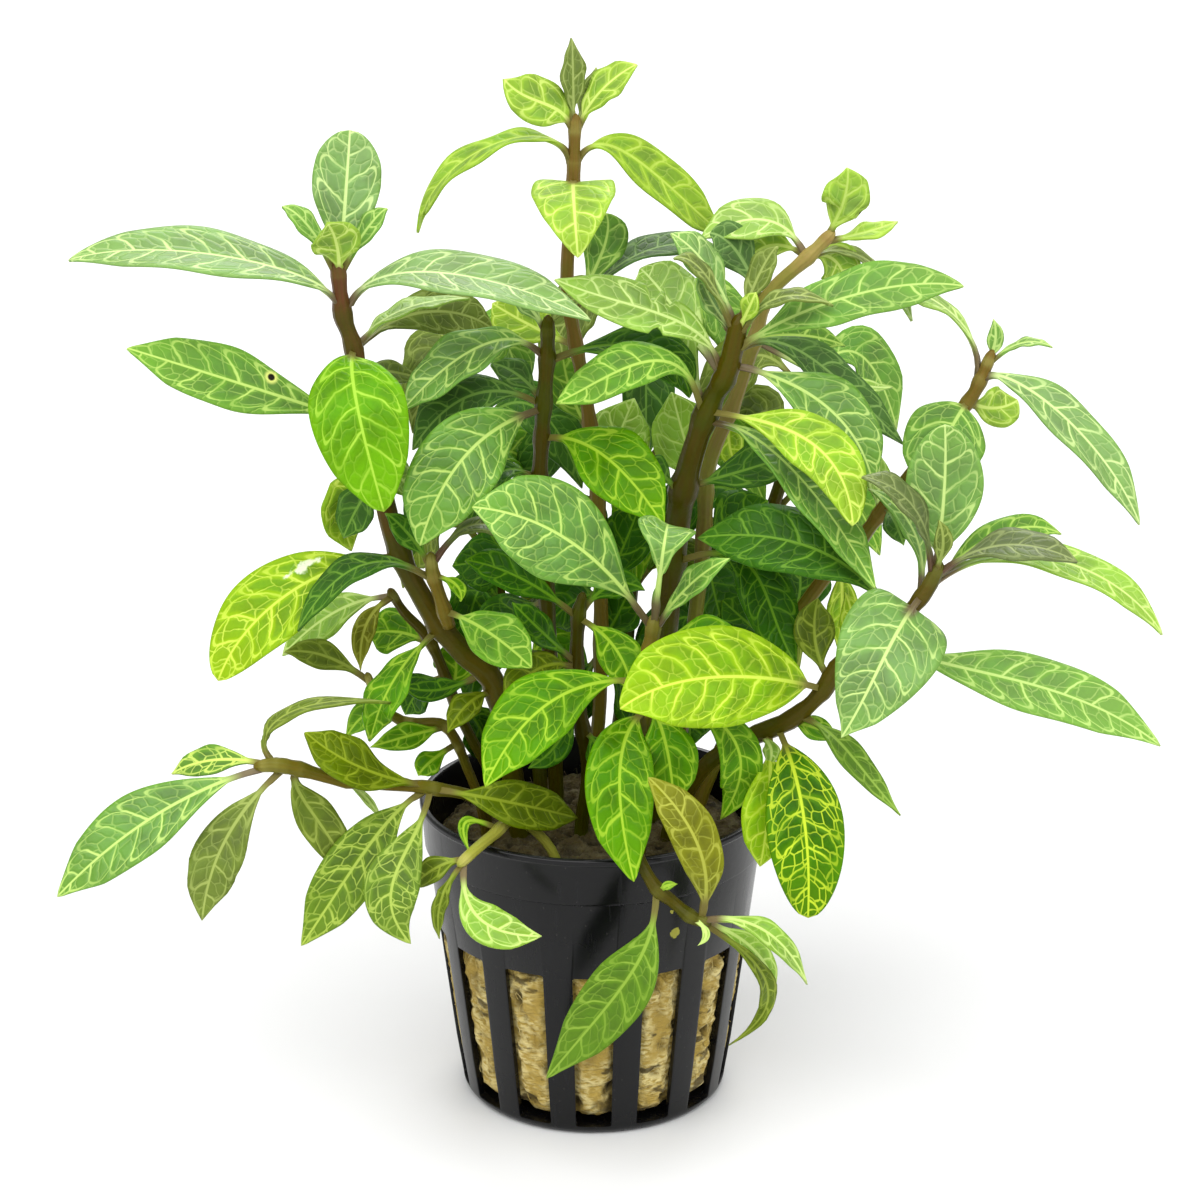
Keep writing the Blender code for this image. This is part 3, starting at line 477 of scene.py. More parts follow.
def vein_group() -> bpy.types.NodeTree:
    """The leaf's vein pattern, shared by all leaf finishes.

    It reads the blade's own map and its margin number. Side veins leave the midrib, sweep towards
    the tip and join in arches along the margin, with a fine net between them.

    Returns:
        The group, with inputs Gap, Cell and Seed, in mm, and outputs Main, Net, Near, Dome and Out.
    """
    group = bpy.data.node_groups.new("vein_net", "ShaderNodeTree")
    socket = group.interface.new_socket
    for name, start in (("Gap", 4.4), ("Cell", 2.0), ("Seed", 0.0)):
        socket(name, in_out="INPUT", socket_type="NodeSocketFloat").default_value = start
    for name in ("Main", "Net", "Near", "Dome", "Out"):
        socket(name, in_out="OUTPUT", socket_type="NodeSocketFloat")
    sheet = Sheet(group)
    given = sheet.node("NodeGroupInput", {}).outputs
    gap, cell, seed = (Signal(sheet, given[name]) for name in ("Gap", "Cell", "Seed"))
    across, along = sheet.blade_place()
    out = abs(across)
    margin, reach = sheet.attribute("margin"), sheet.attribute("reach")
    place = sheet.joined(across, along, seed * 37.0)
    wobble = sheet.noise(place, 0.17, 1.0) - 0.5
    shiver = sheet.noise(place, 0.8, 1.0) - 0.5

    # Side veins: how far the nearest one is, as they sweep up towards the margin
    margin_cubed = margin**3.0
    swept = along - out * (0.62 + margin_cubed * 0.75)
    rows = (swept + wobble * 2.4 + shiver * 0.45) / gap
    between = sheet.math("FRACT", rows + sheet.math("GREATER_THAN", across, 0.0) * 0.42)
    slope = 0.62 + margin_cubed * 3.0
    stretch = sheet.math("SQRT", 1.0 + slope * slope)
    side = sheet.smallest(between, 1.0 - between) * gap / stretch

    # Arches that join their ends, inside the margin
    arch = 0.60 + sheet.math("SINE", between * math.pi) ** 0.6 * 0.24 + shiver * 0.06
    beyond = margin - arch
    loop = abs(beyond) * (out / sheet.largest(margin, 0.02))
    side = side + sheet.ramp(beyond, 0.0, 0.09)

    # The fine net
    leaning = along - out * 0.55
    shift = sheet.joined(seed * 17.0, shiver * 0.5)
    shifted = {0: sheet.joined(across / cell, leaning / cell), 1: shift}
    net_place = sheet.out("ShaderNodeVectorMath", shifted, operation="ADD")
    cells = {"Vector": net_place, "Scale": 1.0, "Randomness": 0.8}
    kind = {"voronoi_dimensions": "2D", "feature": "DISTANCE_TO_EDGE"}
    net = sheet.out("ShaderNodeTexVoronoi", cells, "Distance", **kind) * cell

    # How wide each kind of vein is, in mm, and where it fades
    rib_width = 0.42 - reach * 0.24
    rib = sheet.ramp(out, rib_width, rib_width * 0.5)
    thick = 0.27 - margin * 0.10
    laterals = sheet.ramp(side, thick, thick * 0.25)
    arches = sheet.ramp(loop, 0.22, 0.08) * 0.8
    faded = 0.5 + sheet.ramp(sheet.noise(place, 0.22, 0.0), 0.30, 0.62) * 0.5
    edge_fade = sheet.ramp(margin, 1.0, 0.94)
    bold = sheet.smallest(side, loop, out)
    results = {
        "Main": sheet.largest(rib, sheet.largest(laterals, arches) * faded) * edge_fade,
        "Net": sheet.ramp(net, 0.15, 0.04) * edge_fade * faded,
        "Near": sheet.ramp(bold, 0.95, 0.15),
        "Dome": sheet.ramp(sheet.smallest(bold, net + 0.15), 0.02, 0.65),
        "Out": out,
    }
    sheet.node("NodeGroupOutput", results)
    return group


@dataclass(frozen=True)
class LeafFinish:
    """A leaf's colours, in sRGB parts of 255, and how bold its veins are.

    Spots are (across from the midrib, along from the base, radius) in mm. The sheen colour is
    painted light: upper and outer leaves are lightened towards it, as painted sheen and glow. The
    glare pair, if given, is the middle of a painted highlight: a ragged pale patch of glare.
    """

    slot: str
    cell: Colour
    flush: Colour
    vein: Colour
    under: Colour
    boldness: float = 0.8
    net: float = 0.35
    halo: float = 0.25
    gap: float = 4.4
    cell_mm: float = 2.0
    petiole: Colour = (108, 96, 50)
    gloss: float = 0.09
    roughness: float = 0.40
    # Painted light: the pale colour that upper and outer leaves are lightened towards, as sheen and
    # glow
    painted_sheen: Colour = (230, 242, 196)
    # Painted highlight: the colour of a ragged patch of glare
    glare_colour: Colour = (236, 240, 214)
    dying: Colour = (214, 222, 120)
    dead: Colour = (24, 18, 8)
    spots: tuple[Triple, ...] = ()
    glare_place: Pair | None = None
    relief_strength: float = 0.55
    relief_depth: float = 0.00022

    def start(self, face: str, veins: bpy.types.NodeTree) -> tuple[Paint, dict[str, Signal]]:
        """A face's sheet, and the vein pattern on it by its outputs' names."""
        paint = Paint(f"{self.slot}_{face}")
        feeds = {"Gap": self.gap, "Cell": self.cell_mm, "Seed": paint.attribute("tone")}
        pattern = paint.node("ShaderNodeGroup", feeds, node_tree=veins)
        return paint, {output.name: Signal(paint, output) for output in pattern.outputs}

    def upper(self, veins: bpy.types.NodeTree) -> Material:
        """The upper face: dark cells, a lighter flush by the veins, and the veins, with painted
        light: sheen on the upper and outer leaves, and any patch of glare.

        Args:
            veins: The shared vein group.

        Returns:
            The material.
        """
        paint, pattern = self.start("upper", veins)
        here, tone = paint.here(), paint.attribute("tone")
        fine = paint.noise(here, 1900.0, 2.0)
        deep = tuple(part * 0.74 for part in self.cell)
        blotch = paint.ramp(paint.noise(here, 170.0, 3.0), 0.35, 0.70)
        ground = paint.mix(blotch, deep, self.cell)
        ground = paint.mix(fine * 0.22, ground, self.flush)
        tip = paint.ramp(paint.attribute("reach"), 0.55, 1.05)
        rim = paint.ramp(paint.attribute("margin"), 0.72, 1.0)
        flush = paint.largest(pattern["Near"] * self.halo, tip * 0.45, rim * 0.40)
        flush = paint.math("ADD", flush, tone * 0.15, clamp=True)
        ground = paint.mix(flush, ground, self.flush)
        fine_net = pattern["Net"] * (self.net * self.boldness)
        strength = paint.largest(pattern["Main"] * self.boldness, fine_net)
        # Painted light: upper and outer leaves are lightened towards a pale colour, as sheen and
        # glow
        painted_sheen_share = paint.attribute("painted_sheen_share")
        ground = paint.mix(painted_sheen_share * 0.10, ground, self.painted_sheen)
        vein = paint.mix(painted_sheen_share * 0.40, self.vein, self.painted_sheen)
        colour = paint.mix(strength, ground, vein)
        # A painted highlight: a ragged pale patch of glare
        if self.glare_place:
            colour = self.add_painted_glare(paint, colour)
        for across, along, size in self.spots:
            colour = self.add_spot(paint, colour, (across, along), size)
        return self.finish(paint, colour, pattern, pattern["Dome"] * 0.8 + fine * 0.16)

    def lower(self, veins: bpy.types.NodeTree) -> Material:
        """The underside: paler and duller, with raised veins.

        Args:
            veins: The shared vein group.

        Returns:
            The material.
        """
        paint, pattern = self.start("lower", veins)
        fine = paint.noise(paint.here(), 1400.0, 2.0)
        shade = tuple(part * 0.86 for part in self.under)
        ground = paint.mix(fine, shade, self.under)
        colour = paint.mix(pattern["Main"] * (0.55 * self.boldness), ground, self.vein)
        return self.finish(paint, colour, pattern, pattern["Near"] * 0.8 + fine * 0.3)

    def add_painted_glare(self, paint: Paint, colour: Signal) -> Signal:
        """The colour with a painted highlight: a ragged, pale, silvery patch of glare."""
        across, along = paint.blade_place()
        middle, height = self.glare_place
        away = abs(along - height) * 0.35 + abs(across - middle)
        ragged = paint.noise(paint.here(), 900.0, 3.0) * 2.2
        return paint.mix(paint.ramp(away + ragged, 2.2, 1.7) * 0.8, colour, self.glare_colour)

    def add_spot(self, paint: Paint, colour: Signal, place: Pair, size: float) -> Signal:
        """The colour with a dead black spot in a yellow halo.

        Args:
            paint: The material's sheet.
            colour: The leaf's colour.
            place: The spot's place, in mm across from the midrib and along from the base.
            size: Its radius, in mm.

        Returns:
            The colour with the spot.
        """
        middle = (place[0] / MAP_MM + MAP_MIDDLE, place[1] / MAP_MM, 0.0)
        feeds = {0: paint.blade_map(), 1: middle}
        offset = paint.out("ShaderNodeVectorMath", feeds, operation="SUBTRACT")
        away = paint.out("ShaderNodeVectorMath", {0: offset}, "Value", operation="LENGTH") * MAP_MM
        colour = paint.mix(paint.ramp(away, 2.2 * size, size), colour, self.dying)
        return paint.mix(paint.ramp(away, 1.15 * size, 0.7 * size), colour, self.dead)

    def finish(
        self, paint: Paint, colour: Signal, pattern: dict[str, Signal], relief: Signal
    ) -> Material:
        """Turn the colour brown towards the leaf's stalk, and set the gloss and the relief.

        Args:
            paint: The material's sheet.
            colour: The leaf's colour.
            pattern: The vein pattern.
            relief: The relief, 1 for its greatest depth.

        Returns:
            The material.
        """
        stalk = paint.ramp(paint.attribute("reach"), 0.21, 0.09)
        stalk = stalk * paint.ramp(pattern["Out"], 1.5, 0.45)
        colour = paint.mix(stalk * 0.9, colour, self.petiole)
        strength, depth = self.relief_strength, self.relief_depth
        return paint.finish(colour, self.roughness, self.gloss, relief, strength, depth)


class Look(Enum):
    """The plant's leaf finishes, from bright crowns to ageing leaves."""

    BLUE = LeafFinish(
        "leaf_blue", (86, 132, 52), (112, 168, 36), (190, 218, 110), (132, 162, 104),
        0.8, 0.35, 0.25, petiole=(92, 64, 52), gloss=0.32,
    )
    LIME = LeafFinish(
        "leaf_lime", (102, 156, 0), (160, 198, 2), (208, 228, 78), (160, 192, 56),
        0.75, 0.4, 0.5, petiole=(112, 96, 54),
    )
    # A lime finish with a painted highlight, a ragged patch of glare, on its leaf
    GLAZED = replace(LIME, cell=(82, 138, 0), net=0.8, cell_mm=2.3, glare_place=(2.4, 15.0))
    FRESH = LeafFinish(
        "leaf_fresh", (56, 118, 0), (110, 168, 0), (176, 210, 58), (116, 156, 46), 0.68, 0.4, 0.35
    )
    MATURE = replace(
        FRESH, cell=(62, 104, 0), flush=(98, 140, 2), vein=(146, 180, 42), boldness=0.55
    )
    VIVID = replace(FRESH, cell=(82, 146, 4), flush=(122, 178, 10), vein=(172, 212, 72), net=0.3)
    SHEER = replace(LIME, boldness=0.4)
    SPOTTED = replace(FRESH, boldness=0.8, spots=((2.5, 15.6, 0.6),))
    DARK = LeafFinish(
        "leaf_dark", (26, 76, 0), (62, 118, 0), (118, 166, 32), (84, 124, 30), 0.55, 0.4, 0.3
    )
    OLIVE = LeafFinish(
        "leaf_olive", (72, 94, 0), (110, 132, 4), (150, 166, 44), (122, 134, 44), 0.6, 0.4, 0.3
    )
    PALE = LeafFinish(
        "leaf_pale", (112, 160, 42), (154, 198, 48), (202, 226, 124), (152, 178, 92),
        0.75, 0.4, 0.3, petiole=(104, 76, 60), gloss=0.28,
    )
    NET = LeafFinish(
        "leaf_net", (42, 98, 0), (100, 152, 2), (184, 206, 48), (126, 154, 44),
        1.0, 0.85, 0.4, 4.2, 1.9, gloss=0.08,
    )
    AGEING = replace(
        NET, cell=(62, 98, 4), flush=(110, 144, 10), vein=(164, 186, 58), boldness=0.75
    )
    PURPLE = LeafFinish(
        "leaf_purple", (66, 86, 30), (92, 108, 30), (138, 150, 70), (108, 96, 62),
        0.55, 0.4, 0.25, petiole=(92, 62, 50), gloss=0.25,
    )
    BROWN = LeafFinish(
        "leaf_brown", (102, 104, 4), (136, 142, 12), (170, 174, 60), (128, 122, 56), 0.75, 0.45, 0.3
    )


@dataclass(frozen=True)
class StemFinish:
    """A shoot's skin, in sRGB parts of 255: its foot, its crown, its blotches and its nodes."""

    name: str
    low: Colour
    high: Colour
    blotch: Colour
    node: Colour
    ring: Colour = (52, 32, 26)
    ribs: float = 9.0

    def material(self) -> Material:
        """The material."""
        paint = Paint(self.name)
        here = paint.here()
        around = paint.parts(paint.blade_map())[1]
        wave = paint.math("SINE", around * (math.tau * self.ribs))
        ribs = paint.math("MULTIPLY_ADD", wave, 0.5, 0.5)
        blotch = paint.ramp(paint.noise(here, 130.0, 3.0), 0.42, 0.66)
        rise, near = paint.attribute("reach"), paint.attribute("margin")
        colour = paint.mix(paint.ramp(rise, 0.40, 0.85), self.low, self.high)
        colour = paint.mix(blotch * 0.6, colour, self.blotch)
        colour = paint.mix(ribs * 0.22, colour, self.blotch)
        colour = paint.mix(paint.ramp(near, 0.25, 0.70) * 0.7, colour, self.node)
        colour = paint.mix(paint.ramp(near, 0.90, 0.985) * 0.75, colour, self.ring)
        relief = ribs * 0.6 + paint.noise(here, 1500.0, 3.0)
        return paint.finish(colour, 0.30, 0.10, relief, strength=0.5, depth=0.2 * MM)


class Skin(Enum):
    """The shoots' skins."""

    PURPLE = StemFinish("stem_purple", (78, 68, 8), (92, 56, 34), (62, 68, 4), (124, 124, 58))
    BROWN = StemFinish("stem_brown", (104, 88, 22), (116, 90, 38), (88, 94, 20), (150, 146, 76))
    DARK = StemFinish("stem_dark", (62, 54, 2), (78, 66, 6), (60, 72, 2), (108, 112, 36))
    TAN = StemFinish(
        "stem_tan", (82, 74, 24), (160, 140, 78), (124, 128, 46), (134, 98, 58), (88, 56, 42)
    )
    OLIVE = StemFinish("stem_olive", (150, 148, 56), (158, 154, 66), (136, 150, 50), (172, 166, 88))


@dataclass(frozen=True)
class PlasticFinish:
    """The pot's satin charcoal plastic, with fine scuffs and a little dust."""

    colour: Colour = (7, 7, 8)
    scuffed: Colour = (24, 25, 28)
    dusty: Colour = (150, 148, 138)
    flake: Colour = (150, 148, 52)
    ragged: float = 0.9 * MM

    def material(self, flakes: Places) -> Material:
        """The material.

        Args:
            flakes: The place and the radius of each crumb of dried leaf that sticks to it.

        Returns:
            The material.
        """
        paint = Paint("pot_plastic")
        here = paint.here()
        scuffs = paint.ramp(paint.noise(paint.drawn((1.0, 1.0, 0.12)), 900.0, 4.0), 0.56, 0.72)
        haze = paint.ramp(paint.noise(here, 60.0, 3.0), 0.35, 0.75)
        feeds = {"Vector": here, "Scale": 620.0}
        specks = paint.out("ShaderNodeTexVoronoi", feeds, "Distance", feature="F1")
        dust = paint.ramp(specks, 0.085, 0.04)
        colour = paint.mix(haze * 0.30, self.colour, self.scuffed)
        colour = paint.mix(scuffs * 0.25, colour, self.scuffed)
        colour = paint.mix(dust * 0.10, colour, self.dusty)
        ragged = paint.noise(here, 1500.0, 2.0) * self.ragged
        for place, radius in flakes:
            feeds = {0: here, 1: place}
            away = paint.out("ShaderNodeVectorMath", feeds, "Value", operation="DISTANCE") + ragged
            edge = 0.5 * self.ragged
            flake = paint.ramp(away, 1.25 * radius + edge, radius + edge)
            colour = paint.mix(flake, colour, self.flake)
        rough = 0.22 + haze * 0.10 + scuffs * 0.08
        relief = paint.noise(here, 700.0, 4.0)
        return paint.finish(colour, rough, 0.27, relief, strength=0.25, depth=0.08 * MM)


@dataclass(frozen=True)
class WoolFinish:
    """Mineral wool: matt tan fibres, with painted shade in its hollows, blotches and cracks, and a
    darker top, partly painted shade under the plant and partly dirt.
    """

    pale: Colour = (218, 202, 138)
    tan: Colour = (168, 142, 62)
    # The colour of the painted shade in hollows, blotches and cracks
    dark: Colour = (58, 46, 10)
    # The top's colour, painted shade under the plant and partly dirt, and the heights where it
    # starts
    top_shade_and_dirt: Colour = (34, 28, 10)
    top_shade_and_dirt_z: Pair = (0.0405, 0.0435)

    def material(self) -> Material:
        """The material."""
        paint = Paint("mineral_wool")
        here = paint.here()
        fibres = paint.noise(paint.drawn((0.45, 0.45, 1.1), (0.35, 0.25, 0.0)), 1700.0, 5.0)
        clumps = paint.noise(here, 330.0, 4.0)
        colour = paint.mix(paint.ramp(clumps, 0.34, 0.66), self.tan, self.pale)
        colour = paint.mix(paint.ramp(fibres, 0.58, 0.36), colour, self.tan)
        # Painted shade: darker in the surface's hollows, in soft blotches and in streaky cracks
        shade_blotches = paint.ramp(paint.noise(here, 140.0, 2.0), 0.58, 0.74)
        crack_shade = paint.ramp(paint.noise(paint.drawn((1.0, 1.0, 2.4)), 210.0, 4.0), 0.57, 0.66)
        painted_shade = paint.largest(paint.attribute("hollow"), shade_blotches, crack_shade)
        colour = paint.mix(painted_shade * 0.85, colour, self.dark)
        # Painted shade under the plant, partly dirt: the top of the plug is darker
        top = paint.ramp(paint.parts(here)[2], *self.top_shade_and_dirt_z)
        colour = paint.mix(top * 0.85, colour, self.top_shade_and_dirt)
        return paint.finish(colour, 0.92, relief=fibres + clumps * 0.8, depth=0.9 * MM)


@dataclass
class Wardrobe:
    """The materials, each made once and shared by what wears it."""

    veins: bpy.types.NodeTree = field(default_factory=vein_group)
    made: dict[Enum, Material | tuple[Material, Material]] = field(default_factory=dict)

    def leaf(self, look: Look) -> tuple[Material, Material]:
        """The upper and the lower face's material of a look."""
        if look not in self.made:
            self.made[look] = (look.value.upper(self.veins), look.value.lower(self.veins))
        return self.made[look]

    def skin(self, skin: Skin) -> Material:
        """The material of a shoot's skin."""
        if skin not in self.made:
            self.made[skin] = skin.value.material()
        return self.made[skin]


# Shoots and leaves


def stretch_of(stations: list[float], wanted: float) -> tuple[int, float]:
    """Which stretch between rising stations holds a number, and its share along that stretch."""
    stretch = max(i for i, station in enumerate(stations[:-1]) if station <= wanted)
    gap = stations[stretch + 1] - stations[stretch]
    return stretch, (wanted - stations[stretch]) / gap


def lengths_along(line: list[Vector]) -> list[float]:
    """The length from a line's start to each of its points."""
    travelled = [0.0]
    for low, high in zip(line, line[1:]):
        travelled.append(travelled[-1] + (high - low).length)
    return travelled


@dataclass
class Shoot:
    """A shoot: where it is planted in the wool, and the points of its axis above it.

    Axis points are (pixel x, pixel y, depth in mm, radius in mm), and the foot is (x, y) in mm.
    """

    node: str
    skin: Skin
    foot: Pair | None
    path: list[tuple[float, float, float, float]]
    swelling: float = 0.26
    slimness: float = 0.88
    swelling_reach: float = 1.3 * MM
    search_steps: int = 12
    bend_steps: int = 6

    def axis(self) -> Places:
        """The axis as (place, radius) points in metres, from its planted end up."""
        path = [(VIEW.seen(x, y, depth), radius * MM) for x, y, depth, radius in self.path]
        if self.foot is None:
            return path
        x, y = self.foot
        heights = (WOOL_TOP_Z - ROOT_DEPTH, WOOL_TOP_Z + 0.5 * MM)
        return [(Vector((x * MM, y * MM, height)), path[0][1]) for height in heights] + path

    def nearest(self, pixel: Pair) -> tuple[Vector, Vector, float]:
        """Where the axis passes nearest to a pixel.

        Args:
            pixel: The pixel that the photograph shows it at.

        Returns:
            The place, the axis's direction there and its radius.
        """
        axis = self.axis()
        found = []
        for (low, low_radius), (high, high_radius) in zip(axis, axis[1:]):
            for step in range(self.search_steps + 1):
                share = step / self.search_steps
                place = low.lerp(high, share)
                miss = (VIEW.pixel_of(place) - Vector(pixel)).length
                radius = low_radius + (high_radius - low_radius) * share
                found.append((miss, place, (high - low).normalized(), radius))
        return min(found, key=lambda passed: passed[0])[1:]

    def smooth_axis(self) -> Places:
        """The axis with its bends rounded, and a short bud beyond its end."""
        axis = self.axis()
        places = [place for place, _ in axis]
        ends = [2 * places[0] - places[1], *places, 2 * places[-1] - places[-2]]
        smooth = []
        for number, ((_, low), (_, high)) in enumerate(zip(axis, axis[1:])):
            before, start, end, after = ends[number : number + 4]
            for step in range(self.bend_steps):
                share = step / self.bend_steps
                place = 0.5 * (
                    2 * start
                    + (end - before) * share
                    + (2 * before - 5 * start + 4 * end - after) * share**2
                    + (3 * start - before - 3 * end + after) * share**3
                )
                smooth.append((place, low + (high - low) * share))
        last, radius = axis[-1]
        ahead = (last - places[-2]).normalized()
        bud = ((0.7, 0.72), (1.1, 0.25))
        smooth.append((last, radius))
        return smooth + [(last + ahead * far * radius, size * radius) for far, size in bud]

    def build(self, joints: list[Vector], tone: float, skin: Material) -> Object:
        """The shoot as a tube that swells where leaves grow from it.

        Args:
            joints: The places where leaves grow.
            tone: A number from 0 to 1 that varies its colour.
            skin: Its material.

        Returns:
            The tube.
        """

        def nearness(place: Vector) -> float:
            """How near a place is to a node, where the stem is thicker."""
            gap = min(((place - joint).length for joint in joints), default=1.0)
            return math.exp(-((gap / self.swelling_reach) ** 2))

        points = self.smooth_axis()
        line = [
            (place, self.slimness * radius / MM * (1.0 + self.swelling * nearness(place)))
            for place, radius in points
        ]
        tube = tubes(self.node + "_shoot", [line], MM, rings=4, capped=True)
        merge_doubles(tube)
        face_outwards(tube)
        map_tube(tube, [place for place, _ in points])
        corners = tube.data.vertices
        heights = [min(1.0, corner.co.z / PLANT_HEIGHT) for corner in corners]
        point_attribute(tube, "reach", heights)
        point_attribute(tube, "margin", [nearness(corner.co) for corner in corners])
        point_attribute(tube, "tone", tone)
        tube.data.materials.append(skin)
        bpy.ops.object.shade_smooth()
        return tube


def map_tube(tube: Object, line: list[Vector]) -> None:
    """Give a tube its blade map: U runs along it in units of 50 mm, V once round it.

    Args:
        tube: The tube.
        line: The places along its axis.
    """
    travelled = lengths_along(line)
    layer = tube.data.uv_layers.new(name="blade")
    found = []
    for corner in tube.data.vertices:
        number = min(range(len(line)), key=lambda step: (line[step] - corner.co).length_squared)
        number = min(number, len(line) - 2)
        ahead = (line[number + 1] - line[number]).normalized()
        side = ahead.cross(Vector((0.0, 1.0, 0.0))).normalized()
        other = ahead.cross(side)
        away = corner.co - line[number]
        angle = math.atan2(away.dot(other), away.dot(side)) / math.tau
        found.append((travelled[number] / 0.05, angle))
    for face in tube.data.polygons:
        start = found[tube.data.loops[face.loop_start].vertex_index][1]
        for number in face.loop_indices:
            along, angle = found[tube.data.loops[number].vertex_index]
            layer.data[number].uv = (along, angle - round(angle - start))


def along_curve(places: list[Vector], share: float) -> Vector:
    """The place on the smooth curve through some places.

    Args:
        places: What it passes through, evenly spaced along it.
        share: 0 at the first, 1 at the last.

    Returns:
        The place.
    """
    stations = [number / (len(places) - 1) for number in range(len(places))]
    found = Vector((0.0, 0.0, 0.0))
    for number, place in enumerate(places):
        others = [station for station in stations if station != stations[number]]
        weight = math.prod((share - other) / (stations[number] - other) for other in others)
        found += place * weight
    return found


@dataclass(frozen=True)
class Lie:
    """How a blade's surface rises and falls: its fold, its waves and its curled margins."""

    shift: float
    waves: float
    wave_mm: float
    curl: float
    fold: float = math.radians(10)
    crease: float = 0.012
    curl_start: float = 0.55
    side_lag: float = 1.3

    @classmethod
    def drawn(cls, dice: random.Random, width: float) -> Lie:
        """A lie by chance, for a blade of this width in mm."""
        shift, waves = dice.random() * math.tau, dice.uniform(2.2, 3.4)
        wave_mm = dice.uniform(0.25, 0.55) * min(1.0, width / 9)
        return cls(shift, waves, wave_mm, dice.uniform(0.02, 0.10))

    def rise(self, edge: float, share: float, half: float) -> float:
        """How far the surface lies above the midrib's level, in mm.

        Args:
            edge: -1 and 1 at the margins, 0 at the midrib.
            share: The share of the leaf's length.
            half: Half the width there, in mm.

        Returns:
            The rise.
        """
        out = abs(edge)
        rise = half * math.tan(self.fold) * (math.sqrt(edge**2 + self.crease) - 0.11)
        rise -= self.curl * half * max(0.0, out - self.curl_start) ** 2 * 4
        lag = self.side_lag if edge > 0 else 0.0
        swing = math.tau * self.waves * share + self.shift + lag
        return rise + self.wave_mm * math.sin(swing) * out**3 * math.sin(math.pi * share)


SKYWARD = Vector((0.34, 0.0, 0.94))


